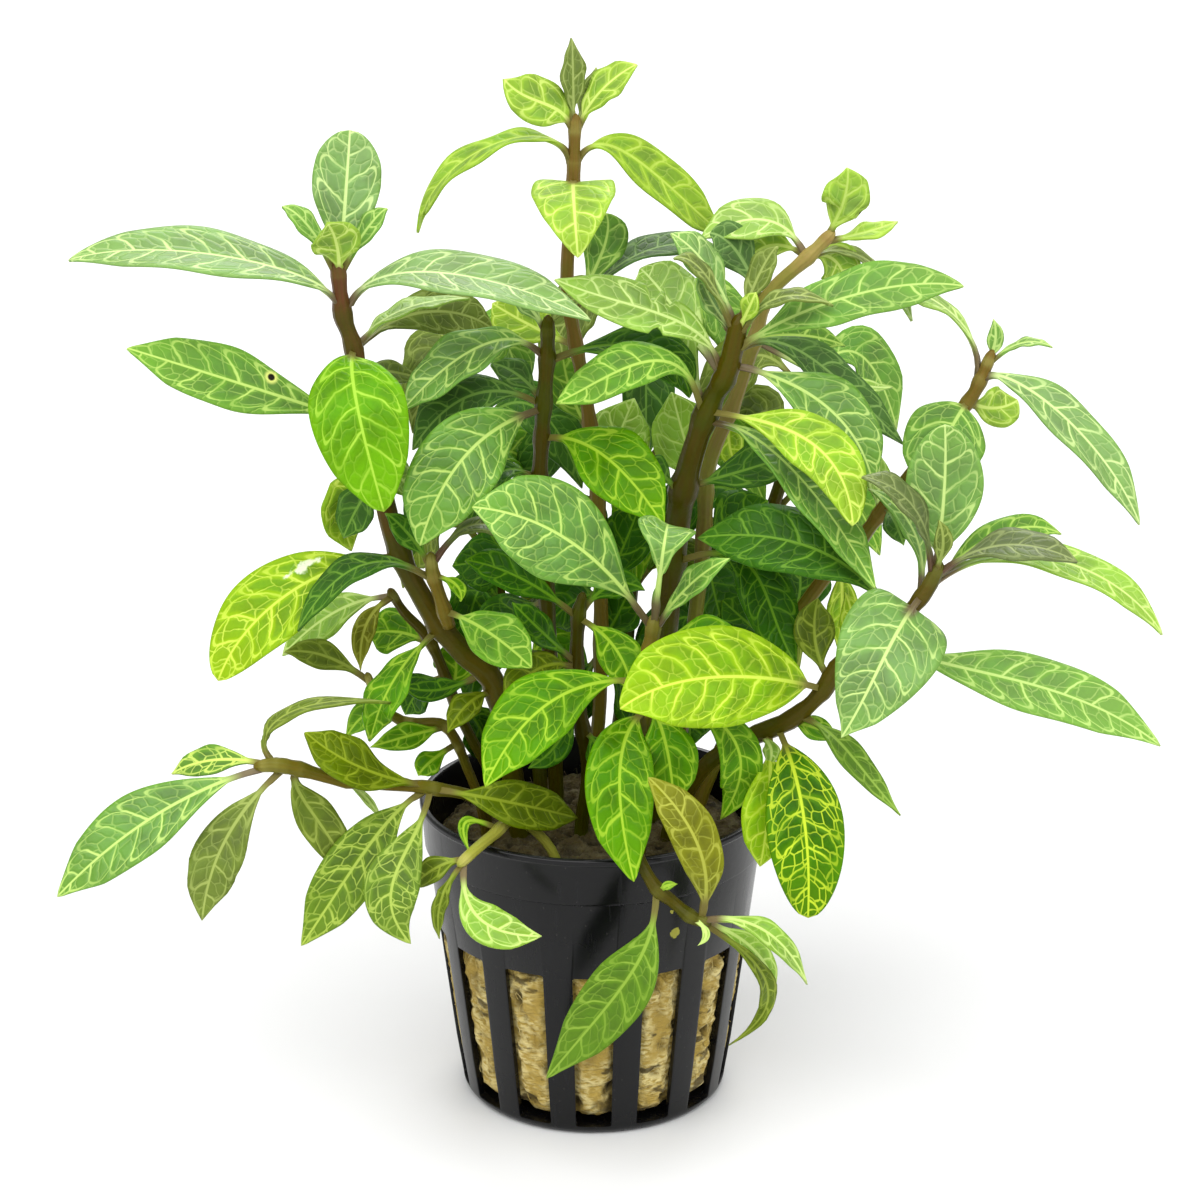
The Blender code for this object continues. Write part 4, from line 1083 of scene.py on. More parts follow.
@dataclass
class Blade:
    """A leaf: the pixel of its base, its midrib from there as pixels with depths, and its blade.

    The turn is the angle, in degrees, by which the upper face is rolled about the midrib from
    facing the view towards the sky, or towards the right of an upright leaf. Bites are (share
    along, side, depth, reach along) of pieces missing from its margin. How much painted sheen it
    has, painted light that makes the upper and outer leaves paler, runs from 0 up, and follows
    from where it grows if it isn't given.
    """

    node: str
    base: Pair
    midrib: list[Triple]
    width: float
    turn: float
    look: Look
    shape: BladeShape = BladeShape.LANCE
    bites: tuple[tuple[float, float, float, float], ...] = ()
    point: float = 0.55
    painted_sheen: float | None = None
    petiole_share: float = 0.10
    petiole_mm: float = 1.1
    narrow_mm: float = 6
    tiny_mm: float = 4
    grid: tuple[int, int] = (18, 56)
    small_grid: tuple[int, int] = (8, 22)
    look_ahead: float = 0.01
    keel_mm: float = 0.40
    thinnest: float = 0.34
    # Where the painted sheen begins and how far it takes to grow, in metres of height and of
    # distance out
    painted_sheen_above: Pair = (0.095, 0.045)
    painted_sheen_beyond: Pair = (0.028, 0.035)

    def places(self, shoot: Shoot) -> list[Vector]:
        """What the midrib passes through, evenly spaced along it, from inside the shoot."""
        place, along, radius = shoot.nearest(self.base)
        places = [VIEW.seen(x, y, depth) for x, y, depth in self.midrib]
        out = places[0] - place
        out = (out - along * out.dot(along)).normalized()
        return [place + out * 0.3 * radius, *places]

    def half_width(self, share: float) -> float:
        """Half the blade's width at a share of its length, in mm."""
        narrow = 0.5 * self.petiole_mm * (0.75 if self.width < self.tiny_mm else 0.9)
        if share <= self.petiole_share:
            return narrow
        along = (share - self.petiole_share) / (1 - self.petiole_share)
        swell = 0.5 * self.width * self.shape.share_of_width(along, self.point)
        if self.width <= self.narrow_mm:
            swell *= 1.06 * (1 - along) ** 0.28
        return max(swell, narrow * (1 - along))

    def side_and_face(self, direction: Vector, place: Vector) -> tuple[Vector, Vector]:
        """The directions across the blade and out of its upper face.

        Args:
            direction: The midrib's direction.
            place: The place on the midrib.

        Returns:
            The two directions.
        """
        to_view = (VIEW.place - place).normalized()
        face = (to_view - direction * to_view.dot(direction)).normalized()
        side = direction.cross(face)
        if side.dot(SKYWARD) < 0:
            side.negate()
        angle = math.radians(self.turn)
        face = face * math.cos(angle) + side * math.sin(angle)
        return direction.cross(face).normalized(), face

    def row(self, places: list[Vector], share: float) -> tuple[Vector, Vector, Vector, float]:
        """What lies at a share of its length: the midrib, the two directions and half its width."""
        place = along_curve(places, share)
        ahead = along_curve(places, min(1.0, share + self.look_ahead))
        behind = along_curve(places, max(0.0, share - self.look_ahead))
        directions = self.side_and_face((ahead - behind).normalized(), place)
        return (place, *directions, self.half_width(share))

    def build(self, shoot: Shoot, dice: random.Random, wardrobe: Wardrobe) -> Object:
        """The blade as a thin closed mesh: a grid laid along the midrib, thickened from below.

        Args:
            shoot: The shoot that it grows from.
            dice: Seeded chance, for what differs from leaf to leaf.
            wardrobe: The finishes' materials.

        Returns:
            The blade.
        """
        places = self.places(shoot)
        length = sum((high - low).length for low, high in zip(places, places[1:])) / MM
        across, along = self.grid if self.node else self.small_grid
        name = (self.node or "small_leaf") + "_blade"
        grid = {"x_subdivisions": across, "y_subdivisions": along, "size": 2.0}
        blade = start_mesh(bpy.ops.mesh.primitive_grid_add, name, **grid)
        tone = dice.random()
        lie = Lie.drawn(dice, self.width)
        rows = {}
        reach, margin, edges = [], [], []
        for corner in blade.data.vertices:
            edge, share = corner.co.x, (corner.co.y + 1) / 2
            key = round(share, 5)
            if key not in rows:
                rows[key] = self.row(places, share)
            place, side, face, half = rows[key]
            for bite_share, bite_side, depth, bite_reach in self.bites:
                if edge * bite_side > 0:
                    half *= 1 - depth * math.exp(-(((share - bite_share) / bite_reach) ** 4))
            rise = lie.rise(edge, share, half)
            corner.co = place + side * (edge * half * MM) + face * (rise * MM)
            reach.append(share)
            margin.append(abs(edge))
            edges.append(edge * half)
        point_attribute(blade, "reach", reach)
        point_attribute(blade, "margin", margin)
        point_attribute(blade, "tone", tone)
        point_attribute(blade, "painted_sheen_share", self.painted_sheen_share(places))
        layer = blade.data.uv_layers[0]
        layer.name = "blade"
        for loop, uv in zip(blade.data.loops, layer.data):
            corner = loop.vertex_index
            uv.uv = (edges[corner] / MAP_MM + MAP_MIDDLE, reach[corner] * length / MAP_MM)
        merge_doubles(blade, 1e-7)
        self.thicken(blade)
        for material in wardrobe.leaf(self.look):
            blade.data.materials.append(material)
        pick(blade)
        bpy.ops.object.shade_smooth()
        return blade

    def painted_sheen_share(self, places: list[Vector]) -> float:
        """How much painted sheen, painted light that pales it, the blade gets: more, the further up
        and out it grows.

        Args:
            places: What its midrib passes through.

        Returns:
            0 inside the bush, up to about 1.2 on its outside.
        """
        if self.painted_sheen is not None:
            return self.painted_sheen
        middle = places[len(places) // 2]
        (floor, height), (core, width) = self.painted_sheen_above, self.painted_sheen_beyond
        high = min(1.0, max(0.0, (middle.z - floor) / height))
        wide = min(1.0, max(0.0, (middle.xy.length - core) / width))
        return min(1.0, 0.7 * high + 0.5 * wide)

    def thicken(self, blade: Object) -> None:
        """Give the blade its thickness: a keel under the midrib, thin towards the margin."""
        group = blade.vertex_groups.new(name="thickness")
        margins, reaches = (blade.data.attributes[name].data for name in ("margin", "reach"))
        for index, (out, share) in enumerate(zip(margins, reaches)):
            gap = out.value * self.half_width(share.value)
            keel = math.exp(-((gap / self.keel_mm) ** 2)) * (1 - 0.75 * share.value)
            group.add([index], self.thinnest + (1 - self.thinnest) * keel, "REPLACE")
        apply_modifier(
            blade,
            "SOLIDIFY",
            thickness=0.85 * MM if self.width > self.tiny_mm else 0.6 * MM,
            offset=-1.0,
            vertex_group="thickness",
            material_offset=1,
            material_offset_rim=1,
        )
        blade.vertex_groups.clear()


# A small leaf is one with its shoot, so it has no node of its own
small = partial(Blade, "")


@dataclass
class BackLeaves:
    """Crosswise pairs of leaves down a shoot at the back, which arch out and then droop.

    The pair step is a share of the shoot's length, the angle is in degrees, and the rest in mm.
    """

    pairs: int
    pair_step: float
    angle: float
    length: float = 23.0
    growth: float = 3.5
    rise: float = 5.0
    drop: float = 9.0
    width: float = 10.5
    turn: float = 35
    narrow: float = 0.6
    looks: tuple[Look, ...] = (Look.FRESH, Look.OLIVE, Look.DARK)

    def blades(self, shoot: Shoot) -> list[Blade]:
        """A shoot's leaves, from the crown down."""
        axis = [place for place, _ in shoot.axis()]
        lengths = lengths_along(axis)
        found = []
        for pair in range(self.pairs):
            wanted = lengths[-1] * (1.0 - self.pair_step * pair) - 0.6 * MM
            piece, share = stretch_of(lengths, wanted)
            place = axis[piece].lerp(axis[piece + 1], share)
            length = self.length - self.growth * abs(pair - 1.5)
            for side in (0, 1):
                angle = math.radians(self.angle) + math.pi * side + math.pi / 2 * pair
                out = Vector((math.cos(angle), self.narrow * math.sin(angle) + 0.25, 0.0))
                middle = place + (out * 0.55 * length + Vector((0, 0, self.rise))) * MM
                tip = place + (out * length - Vector((0, 0, self.drop))) * MM
                midrib = [(*VIEW.pixel_of(point), point.y / MM) for point in (middle, tip)]
                base = tuple(VIEW.pixel_of(place))
                look = self.looks[(pair + side) % len(self.looks)]
                found.append(small(base, midrib, self.width, self.turn, look))
        return found


# The plant as the photograph shows it: pixels, with depths in mm

SHOOTS = {
    "A": Shoot("stem_tall_left", Skin.PURPLE, (-12, -3), [
        (497, 692, -6, 2.0), (465, 655, -7, 2.0), (440, 626, -8, 2.0), (418, 590, -9, 1.8),
        (400, 555, -10, 1.8), (388, 515, -11, 1.8), (370, 430, -12, 1.6), (354, 350, -12, 1.4),
        (343, 315, -12, 1.4), (338, 268, -12, 1.1)]),
    "B": Shoot("stem_tall_centre", Skin.BROWN, (-1, 9), [
        (600, 700, 9, 1.3), (599, 520, 7, 1.3), (588, 410, 5, 1.2), (575, 340, 4, 1.2),
        (567, 278, 3, 1.2), (573, 185, 1, 1.1), (575, 120, 0, 0.9)]),
    "C": Shoot("stem_left_centre", Skin.DARK, (-6, 3), [
        (548, 620, 1, 1.4), (540, 500, -2, 1.4), (541, 450, -3, 1.3), (544, 400, -4, 1.3),
        (547, 360, -5, 1.3), (548, 322, -5, 1.0)]),
    "D": Shoot("stem_thick_right", Skin.DARK, (9, 3), [
        (668, 600, 1, 2.3), (678, 520, -1, 2.3), (685, 482, -3, 2.2), (697, 440, -5, 2.0),
        (712, 400, -6, 1.9), (727, 372, -8, 1.7), (739, 322, -9, 1.3)]),
    "E": Shoot("stem_upper_right", Skin.TAN, (13, 9), [
        (702, 560, 12, 1.4), (708, 470, 10, 1.4), (735, 400, 8, 1.3), (756, 335, 7, 1.3),
        (768, 295, 6, 1.2), (808, 257, 5, 1.2), (830, 235, 5, 0.9)]),
    "F": Shoot("stem_right", Skin.BROWN, (17, 5), [
        (750, 690, 9, 1.3), (815, 590, 6, 1.3), (862, 537, 3, 1.2), (888, 503, 1, 1.2),
        (930, 450, -2, 1.2), (968, 402, -4, 1.1), (980, 381, -4, 1.1), (991, 355, -4, 0.8)]),
    "G": Shoot("stem_low_right", Skin.PURPLE, (12, -6), [
        (700, 772, -10, 1.5), (740, 742, -13, 1.5), (790, 720, -16, 1.4), (822, 692, -18, 1.4),
        (842, 662, -18, 1.3), (900, 620, -18, 1.3), (925, 592, -18, 1.2), (938, 568, -18, 1.0)]),
    "H": Shoot("stem_front", Skin.BROWN, (7, -12), [
        (645, 790, -16, 1.5), (648, 700, -20, 1.5), (650, 655, -22, 1.4), (654, 622, -23, 1.1)]),
    "I": Shoot("stem_middle", Skin.DARK, (-2, -3), [
        (588, 770, -4, 1.3), (577, 690, -5, 1.3), (578, 622, -6, 1.2), (582, 598, -6, 0.9)]),
    "J": Shoot("stem_side_left", Skin.BROWN, None, [
        (449, 626, -11.7, 1.2), (441, 600, -13, 1.2), (433, 575, -14, 1.1), (431, 557, -14, 0.8)]),
    "K": Shoot("stem_low_left", Skin.BROWN, (-17, -7), [
        (478, 800, -12, 1.1), (430, 788, -18, 1.1), (380, 784, -21, 1.1), (340, 780, -24, 1.1),
        (299, 769, -26, 1.2), (276, 765, -27, 1.1), (260, 766, -27, 0.9)]),
    "L": Shoot("stem_trailing_left", Skin.OLIVE, (-6, -16), [
        (518, 820, -17, 0.9), (492, 836, -22, 1.0), (475, 850, -26, 1.0), (461, 863, -28, 0.7)]),
    "M": Shoot("stem_trailing_right", Skin.PURPLE, (5, -17), [
        (618, 828, -20, 1.0), (632, 845, -27, 1.1), (646, 872, -30, 1.1), (658, 890, -31, 1.1),
        (672, 901, -31, 1.1), (690, 916, -32, 1.1), (706, 922, -32, 0.8)]),
    "P": Shoot("stem_bent_left", Skin.BROWN, (-18, 1), [
        (468, 770, 1, 0.9), (445, 726, -1, 0.9), (404, 722, -2, 0.9), (378, 702, -3, 0.8),
        (368, 676, -3, 0.6)]),
    "Q": Shoot("stem_small_left", Skin.PURPLE, (-15, 8), [
        (462, 720, 8, 1.0), (432, 645, 6, 1.0), (404, 612, 4, 0.9), (391, 592, 2, 0.7)]),
    "R": Shoot("stem_back_left", Skin.DARK, (-9, 17), [
        (530, 700, 22, 1.4), (500, 600, 26, 1.4), (478, 500, 28, 1.3), (470, 420, 29, 1.2),
        (468, 370, 29, 1.0)]),
    "S": Shoot("stem_back_centre", Skin.DARK, (3, 19), [
        (622, 700, 24, 1.4), (630, 600, 28, 1.4), (640, 480, 31, 1.3), (646, 390, 32, 1.1),
        (648, 330, 32, 0.9)]),
    "T": Shoot("stem_back_right", Skin.DARK, (14, 15), [
        (700, 700, 22, 1.4), (740, 600, 26, 1.4), (775, 500, 28, 1.3), (796, 430, 28, 1.1),
        (803, 385, 28, 0.9)]),
}

# Each shoot's leaves from its crown down, then those inside the bush
BLADES = [
    ("A", [
        Blade("leaf_left_long", (335, 308), [(290, 272, -15), (180, 251, -17), (68, 260, -18)], 12,
            58, Look.BLUE, painted_sheen=0.9),
        Blade("leaf_left_across", (349, 313), [(395, 274, -14), (490, 281, -16), (591, 320, -17)],
            12, 58, Look.BLUE, painted_sheen=1.2),
        Blade("leaf_left_upright", (338, 272), [(346, 190, -9), (350, 130, -6)], 10.2, 0, Look.BLUE,
            BladeShape.OVAL, point=0.0, painted_sheen=0.8),
        small((338, 276), [(337, 246, -15), (328, 224, -19)], 7.5, 0, Look.LIME),
        small((336, 272), [(308, 226, -13), (282, 206, -13)], 5, 45, Look.FRESH),
        small((340, 272), [(367, 229, -13), (387, 208, -13)], 5, 45, Look.FRESH),
        Blade("leaf_left_spotted", (366, 425), [(248, 386, -17), (127, 348, -21)], 10.3, 30,
            Look.SPOTTED, painted_sheen=0.6),
        Blade("leaf_left_facing", (350, 350), [(356, 400, -24), (384, 512, -27)], 14.3, 0,
            Look.VIVID, BladeShape.OVAL, point=0.3, painted_sheen=0.0),
        small((355, 348), [(402, 310, -5), (470, 298, 3)], 6, 66, Look.PALE),
        small((356, 352), [(400, 318, 1), (450, 312, 4), (494, 330, 7)], 7.5, 20, Look.OLIVE),
        Blade("leaf_left_drooping", (392, 557), [(330, 571, -14), (263, 614, -16), (218, 681, -18)],
            12.5, 25, Look.GLAZED, point=0.0, painted_sheen=0.1),
        small((437, 628), [(394, 680, -15), (370, 742, -18)], 8, 45, Look.FRESH),
        small((376, 480), [(360, 503, -9), (343, 538, -9)], 7, 30, Look.DARK),
        small((374, 470), [(345, 500, -4), (352, 551, -3)], 8, 30, Look.LIME),
        small((376, 470), [(398, 476, -4), (418, 500, -2)], 6, 30, Look.PALE),
        small((357, 372), [(388, 371, -3), (420, 378, 3)], 4.5, 30, Look.OLIVE),
        small((480, 676), [(438, 690, -2), (402, 685, 0)], 5, 30, Look.DARK),
        small((495, 690), [(468, 704, -11), (447, 733, -13)], 6, 30, Look.OLIVE),
    ]),
    ("B", [
        small((575, 128), [(573, 82, -1), (572, 38, -1)], 6, 45, Look.OLIVE),
        small((577, 130), [(600, 92, 1), (637, 64, 1)], 6.5, 45, Look.LIME),
        small((577, 128), [(588, 97, 3), (597, 68, 3)], 4.5, 30, Look.OLIVE),
        small((573, 130), [(556, 109, -2), (530, 98, -4), (504, 79, -6)], 7.5, 20, Look.LIME,
            BladeShape.OVAL),
        Blade("leaf_top_facing", (573, 180), [(574, 204, -14), (578, 258, -17)], 12.5, 0, Look.LIME,
            BladeShape.HEART, point=0.0, painted_sheen=0.7),
        Blade("leaf_top_left", (570, 166), [(530, 136, -1), (459, 164, -1), (419, 233, -2)], 7.5,
            68, Look.SHEER, painted_sheen=0.6),
        Blade("leaf_top_right", (577, 165), [(614, 147, 2), (669, 186, 6), (725, 236, 13)], 8.5, 42,
            Look.SHEER, painted_sheen=0.5),
        small((573, 310), [(603, 250, 8), (606, 213, 9)], 7, 20, Look.FRESH),
        small((575, 306), [(646, 251, 12), (722, 250, 20)], 8, 62, Look.DARK),
        small((578, 345), [(530, 325, 10), (492, 303, 14)], 9, 20, Look.LIME),
    ]),
    ("C", [
        Blade("leaf_centre_arching", (545, 358), [(500, 340, -8), (448, 366, -10), (403, 410, -12)],
            9, 40, Look.BLUE, painted_sheen=0.2),
        Blade("leaf_centre_dark", (549, 360), [(610, 345, -6), (663, 356, -7), (690, 398, -7)], 10,
            45, Look.DARK, painted_sheen=0.1),
        Blade("leaf_centre_facing", (541, 410), [(466, 455, -17), (420, 546, -21)], 12.5, 0,
            Look.BLUE, BladeShape.OVAL, painted_sheen=0.0),
        small((543, 405), [(472, 395, -7), (412, 450, -9)], 9, 30, Look.DARK),
        small((543, 402), [(518, 375, -2), (492, 363, 0)], 6, 30, Look.DARK),
        Blade("leaf_centre_right", (542, 436), [(603, 455, -9), (664, 526, -13)], 11.5, 20,
            Look.FRESH, painted_sheen=0.0),
        small((541, 480), [(498, 474, -5), (468, 528, -7)], 7, 50, Look.DARK),
        small((547, 330), [(528, 306, -5), (510, 296, -5)], 4, 30, Look.BLUE),
        small((549, 330), [(562, 306, -5), (586, 298, -5)], 4, 30, Look.OLIVE),
    ]),
    ("D", [
        Blade("leaf_right_long", (733, 352), [(790, 318, -12), (875, 290, -14), (964, 286, -15)],
            9.3, 35, Look.FRESH, painted_sheen=0.8),
        Blade("leaf_right_bitten", (724, 375), [(690, 328, -10), (625, 303, -11), (555, 279, -12)],
            8.5, 35, Look.PALE,
            bites=((0.47, 1, 0.42, 0.020), (0.55, 1, 0.5, 0.022), (0.50, -1, 0.35, 0.022)),
            painted_sheen=0.5),
        small((737, 325), [(708, 268, -10), (671, 233, -10)], 7, 45, Look.BLUE),
        small((736, 328), [(703, 272, -13), (673, 258, -14)], 5, 60, Look.OLIVE),
        small((737, 335), [(712, 302, -8), (699, 272, -8)], 6, 50, Look.BLUE),
        small((739, 326), [(759, 275, -7), (777, 246, -7)], 6, 40, Look.OLIVE),
        small((739, 330), [(749, 308, -12), (756, 292, -13)], 4, 30, Look.LIME),
        small((739, 335), [(778, 298, -14), (834, 305, -15)], 5, 60, Look.OLIVE),
        Blade("leaf_right_hanging", (731, 366), [(795, 386, -11), (845, 425, -13), (873, 484, -14)],
            10.5, 25, Look.BLUE, painted_sheen=0.2),
        small((733, 352), [(787, 345, -5), (843, 384, -6), (904, 444, -6)], 7.8, 45, Look.DARK),
        small((735, 345), [(795, 335, 0), (846, 346, 4)], 6, 30, Look.FRESH),
        Blade("leaf_right_bright", (709, 410), [(775, 425, -17), (828, 458, -21), (853, 526, -25)],
            9.5, 25, Look.LIME, point=0.0, painted_sheen=0.4),
        Blade("leaf_right_narrow", (706, 420),
            [(765, 445, -13), (825, 508, -18), (876, 590, -22.5)], 9, 45, Look.BLUE, painted_sheen=0.0),
        small((685, 484), [(745, 470, -3), (800, 452, -3)], 8, 35, Look.DARK),
        small((672, 560), [(742, 560, -9), (770, 605, -12), (797, 666, -15)], 8.5, 10, Look.DARK),
        small((703, 415), [(668, 362, -13), (612, 374, -16), (556, 403, -18)], 8, 30, Look.FRESH),
        small((683, 490), [(658, 470, -7), (648, 462, -8)], 5, 20, Look.DARK),
        small((709, 412), [(678, 350, -3.4), (645, 325, -2)], 8, 25, Look.PALE),
        small((724, 380), [(672, 305, 4), (640, 268, 8)], 11, 20, Look.PALE),
    ]),
    ("E", [
        small((829, 240), [(843, 203, 4), (848, 168, 3)], 8, 25, Look.SHEER),
        small((829, 240), [(866, 232, 6), (898, 221, 8)], 5, 50, Look.SHEER),
        small((806, 258), [(765, 220, 6), (700, 238, 5)], 8.3, 40, Look.PALE),
        small((806, 258), [(768, 246, 10), (742, 272, 12)], 7, 20, Look.LIME),
        small((808, 258), [(834, 260, 9), (850, 292, 10)], 7, 10, Look.LIME),
        small((808, 258), [(850, 252, 9), (890, 280, 13)], 4, 60, Look.OLIVE),
        small((765, 305), [(737, 252, 4), (710, 233, 3)], 7, 20, Look.DARK),
        small((757, 340), [(835, 378, 13), (893, 387, 16)], 4, 40, Look.PALE),
        small((730, 412), [(729, 440, 14), (737, 468, 15)], 6, 20, Look.LIME),
    ]),
    ("F", [
        small((980, 378), [(964, 326, -3), (928, 297, -2), (906, 294, -1), (913, 321, -1)], 7, 66,
            Look.PALE),
        small((989, 362), [(995, 342, -4), (994, 319, -4)], 3.2, 20, Look.FRESH),
        small((989, 362), [(1022, 343, -5), (1053, 347, -6)], 3, 60, Look.FRESH),
        Blade("leaf_far_right", (981, 381), [(1020, 384, -7), (1086, 439, -10), (1140, 525, -12)],
            7.8, 40, Look.BLUE, painted_sheen=0.9),
        Blade("leaf_right_behind", (968, 402), [(949, 432, -9), (920, 492, -12)], 12.5, 0,
            Look.FRESH, BladeShape.OVAL, painted_sheen=0.7),
        small((968, 402), [(995, 408, 1), (1018, 400, 4)], 6.5, 10, Look.LIME, BladeShape.OVAL),
        small((886, 505), [(895, 522, -5), (904, 546, -6)], 5, 10, Look.DARK),
        small((878, 515), [(879, 485, 6), (879, 452, 8)], 5, 20, Look.PALE),
        small((862, 537), [(858, 562, 1), (868, 588, -1)], 5, 20, Look.FRESH),
    ]),
    ("G", [
        Blade("leaf_low_upright", (936, 570), [(944, 495, -17), (945, 425, -17)], 11.6, 0,
            Look.BLUE, BladeShape.OVAL, point=0.0, painted_sheen=0.5),
        small((937, 572), [(1005, 545, -21), (1078, 562, -23)], 7.5, 52, Look.PURPLE),
        Blade("leaf_low_facing", (922, 596), [(893, 640, -29), (868, 690, -33), (841, 738, -34)],
            15.5, 0, Look.BLUE, BladeShape.HEART, painted_sheen=0.5),
        Blade("leaf_low_front", (822, 690), [(765, 678, -26), (690, 680, -32), (620, 709, -36)],
            15.2, 5, Look.LIME, BladeShape.OVAL, painted_sheen=0.1),
        small((934, 574), [(914, 508, -22), (862, 476, -24)], 7, 60, Look.PURPLE),
        small((922, 592), [(920, 550, -13), (903, 514, -11), (868, 488, -9)], 6, 50, Look.BLUE),
        small((937, 572), [(943, 545, -21), (939, 520, -22)], 3.5, 20, Look.OLIVE),
        Blade("leaf_low_right", (930, 584), [(1008, 555, -14), (1095, 574, -17), (1163, 635, -19)],
            7, 48, Look.PALE, painted_sheen=0.3),
        small((932, 580), [(1004, 532, -12.2), (1062, 534, -10)], 6, 35, Look.FRESH,
            BladeShape.OVAL),
        Blade("leaf_low_long", (878, 636), [(960, 667, -19), (1060, 693, -23), (1161, 746, -26)],
            10.2, 30, Look.FRESH, painted_sheen=0.9),
        Blade("leaf_low_hanging", (800, 714), [(833, 736, -22), (863, 770, -26), (901, 815, -30)],
            5.8, 35, Look.MATURE, painted_sheen=0.3),
        small((790, 720), [(812, 727, -17), (840, 738, -17)], 5, 30, Look.FRESH),
        Blade("leaf_low_net", (776, 726), [(803, 812, -27), (808, 918, -30)], 11.8, 0, Look.NET,
            BladeShape.OVAL, point=0.0, painted_sheen=0.0),
        small((760, 733), [(771, 749, -18.4), (768, 766, -19)], 3.2, 10, Look.PALE),
        small((770, 728), [(769, 800, -23), (760, 867, -25.5)], 8.6, 20, Look.LIME),
        small((830, 678), [(815, 640, -15), (818, 598, -13)], 6.5, 10, Look.OLIVE),
        small((838, 668), [(852, 630, -13), (845, 592, -10)], 5, 20, Look.LIME),
        small((896, 622), [(845, 565, -20), (775, 538, -17), (697, 538, -11)], 12, 30, Look.DARK),
    ]),
    ("H", [
        Blade("leaf_front_upright", (653, 620), [(663, 552, -31), (668, 524, -23)], 8.6, 0,
            Look.BLUE, BladeShape.BLUNT, point=0.0, painted_sheen=0.2),
        Blade("leaf_front_left", (651, 628), [(571, 542, -30), (472, 507, -33)], 14.6, 15,
            Look.BLUE, painted_sheen=0.0),
        small((655, 628), [(690, 585, -27), (730, 558, -28)], 6, 45, Look.BLUE),
        small((650, 650), [(706, 630, -21), (742, 656, -22)], 6, 30, Look.FRESH),
        Blade("leaf_front_hanging", (648, 705), [(620, 768, -27), (634, 882, -33)], 10.4, 0,
            Look.FRESH, BladeShape.OVAL, painted_sheen=0.0),
        small((648, 700), [(666, 745, -24.4), (674, 806, -25)], 9, 0, Look.FRESH),
        Blade("leaf_front_low", (649, 682), [(552, 701, -26), (485, 787, -31)], 11.5, 20,
            Look.FRESH, painted_sheen=0.0),
        small((649, 690), [(735, 742, -22), (720, 820, -19)], 7, 20, Look.FRESH),
    ]),
    ("I", [
        small((578, 616), [(520, 578, -11), (465, 560, -13)], 7, 35, Look.DARK),
        small((577, 662), [(540, 630, -13), (512, 602, -15)], 6, 30, Look.DARK),
        small((578, 618), [(615, 648, -14), (632, 692, -17)], 7, 15, Look.FRESH),
        small((577, 668), [(540, 668, -14), (504, 702, -17)], 7, 15, Look.OLIVE),
        small((577, 700), [(558, 742, -9), (528, 768, -11)], 6, 15, Look.DARK),
        small((581, 730), [(600, 752, -8), (604, 784, -10)], 6, 15, Look.DARK),
        small((578, 612), [(612, 585, -5), (645, 590, -6)], 6, 20, Look.DARK),
    ]),
    ("J", [
        Blade("leaf_side_net", (444, 610), [(488, 632, -19), (532, 668, -22)], 8.6, 20, Look.FRESH,
            painted_sheen=0.3),
        small((434, 578), [(360, 566, -18), (297, 631, -21)], 6.5, 50, Look.DARK),
        small((432, 562), [(482, 524, -16), (537, 566, -17)], 5.5, 55, Look.PURPLE),
        small((432, 565), [(409, 535, -15), (386, 513, -16)], 5, 20, Look.DARK),
        small((434, 575), [(456, 585, -16), (461, 602, -17)], 3, 30, Look.FRESH),
    ]),
    ("K", [
        Blade("leaf_trailing_long", (266, 766), [(156, 815, -30), (57, 897, -32)], 10.5, 25,
            Look.BLUE, painted_sheen=0.1),
        small((268, 766), [(214, 760, -25), (171, 774, -24)], 6, 30, Look.NET),
        small((284, 767), [(226, 839, -30), (202, 921, -33)], 8, 15, Look.OLIVE),
        small((299, 769), [(300, 794, -25), (325, 831, -25), (350, 876, -24)], 6.3, 10, Look.OLIVE),
        small((276, 765), [(268, 731, -24.9), (308, 706, -22.5), (392, 702, -18)], 5, 62,
            Look.OLIVE),
        Blade("leaf_rim_left", (425, 788), [(385, 825, -24), (345, 880, -28), (301, 946, -31)], 9.2,
            10, Look.AGEING, painted_sheen=0.2),
        Blade("leaf_rim_curled", (428, 788), [(409, 845, -29), (391, 893, -34), (411, 944, -35)],
            8.3, 0, Look.AGEING, painted_sheen=0.3),
        Blade("leaf_rim_olive", (428, 788), [(362, 768, -26), (305, 732, -28)], 8.5, 35, Look.OLIVE,
            painted_sheen=0.0),
        small((436, 789), [(508, 802, -20), (578, 818, -13)], 7.5, 15, Look.OLIVE),
        small((345, 781), [(365, 797, -19), (382, 820, -20)], 1.6, 10, Look.PALE),
    ]),
    ("L", [
        small((463, 861), [(479, 918, -31), (542, 936, -32)], 6.2, 10, Look.PALE),
        small((463, 861), [(441, 900, -30.4), (440, 939, -30.4)], 3.4, 40, Look.OLIVE),
        small((464, 860), [(436, 868, -28), (408, 890, -27)], 5, 30, Look.OLIVE),
        small((500, 831), [(466, 822, -22), (470, 852, -25)], 2.2, 20, Look.FRESH),
    ]),
    ("M", [
        Blade("leaf_trailing_low", (658, 890),
            [(644, 950, -35), (608, 1005, -35), (546, 1079, -31)], 9.5, 5, Look.MATURE,
            painted_sheen=0.2),
        Blade("leaf_trailing_brown", (700, 920), [(699, 848, -37), (648, 777, -33)], 7.2, 15,
            Look.BROWN, BladeShape.OVAL, painted_sheen=0.1),
        small((702, 921), [(765, 931, -34), (808, 985, -31)], 5, 35, Look.PALE),
        small((702, 921), [(750, 958, -31), (768, 1000, -29), (728, 1045, -26)], 4, 40, Look.OLIVE),
        small((702, 921), [(752, 948, -29), (776, 991, -26)], 5, 20, Look.PALE),
        small((690, 916), [(706, 932, -34), (697, 946, -34)], 1.4, 0, Look.PALE),
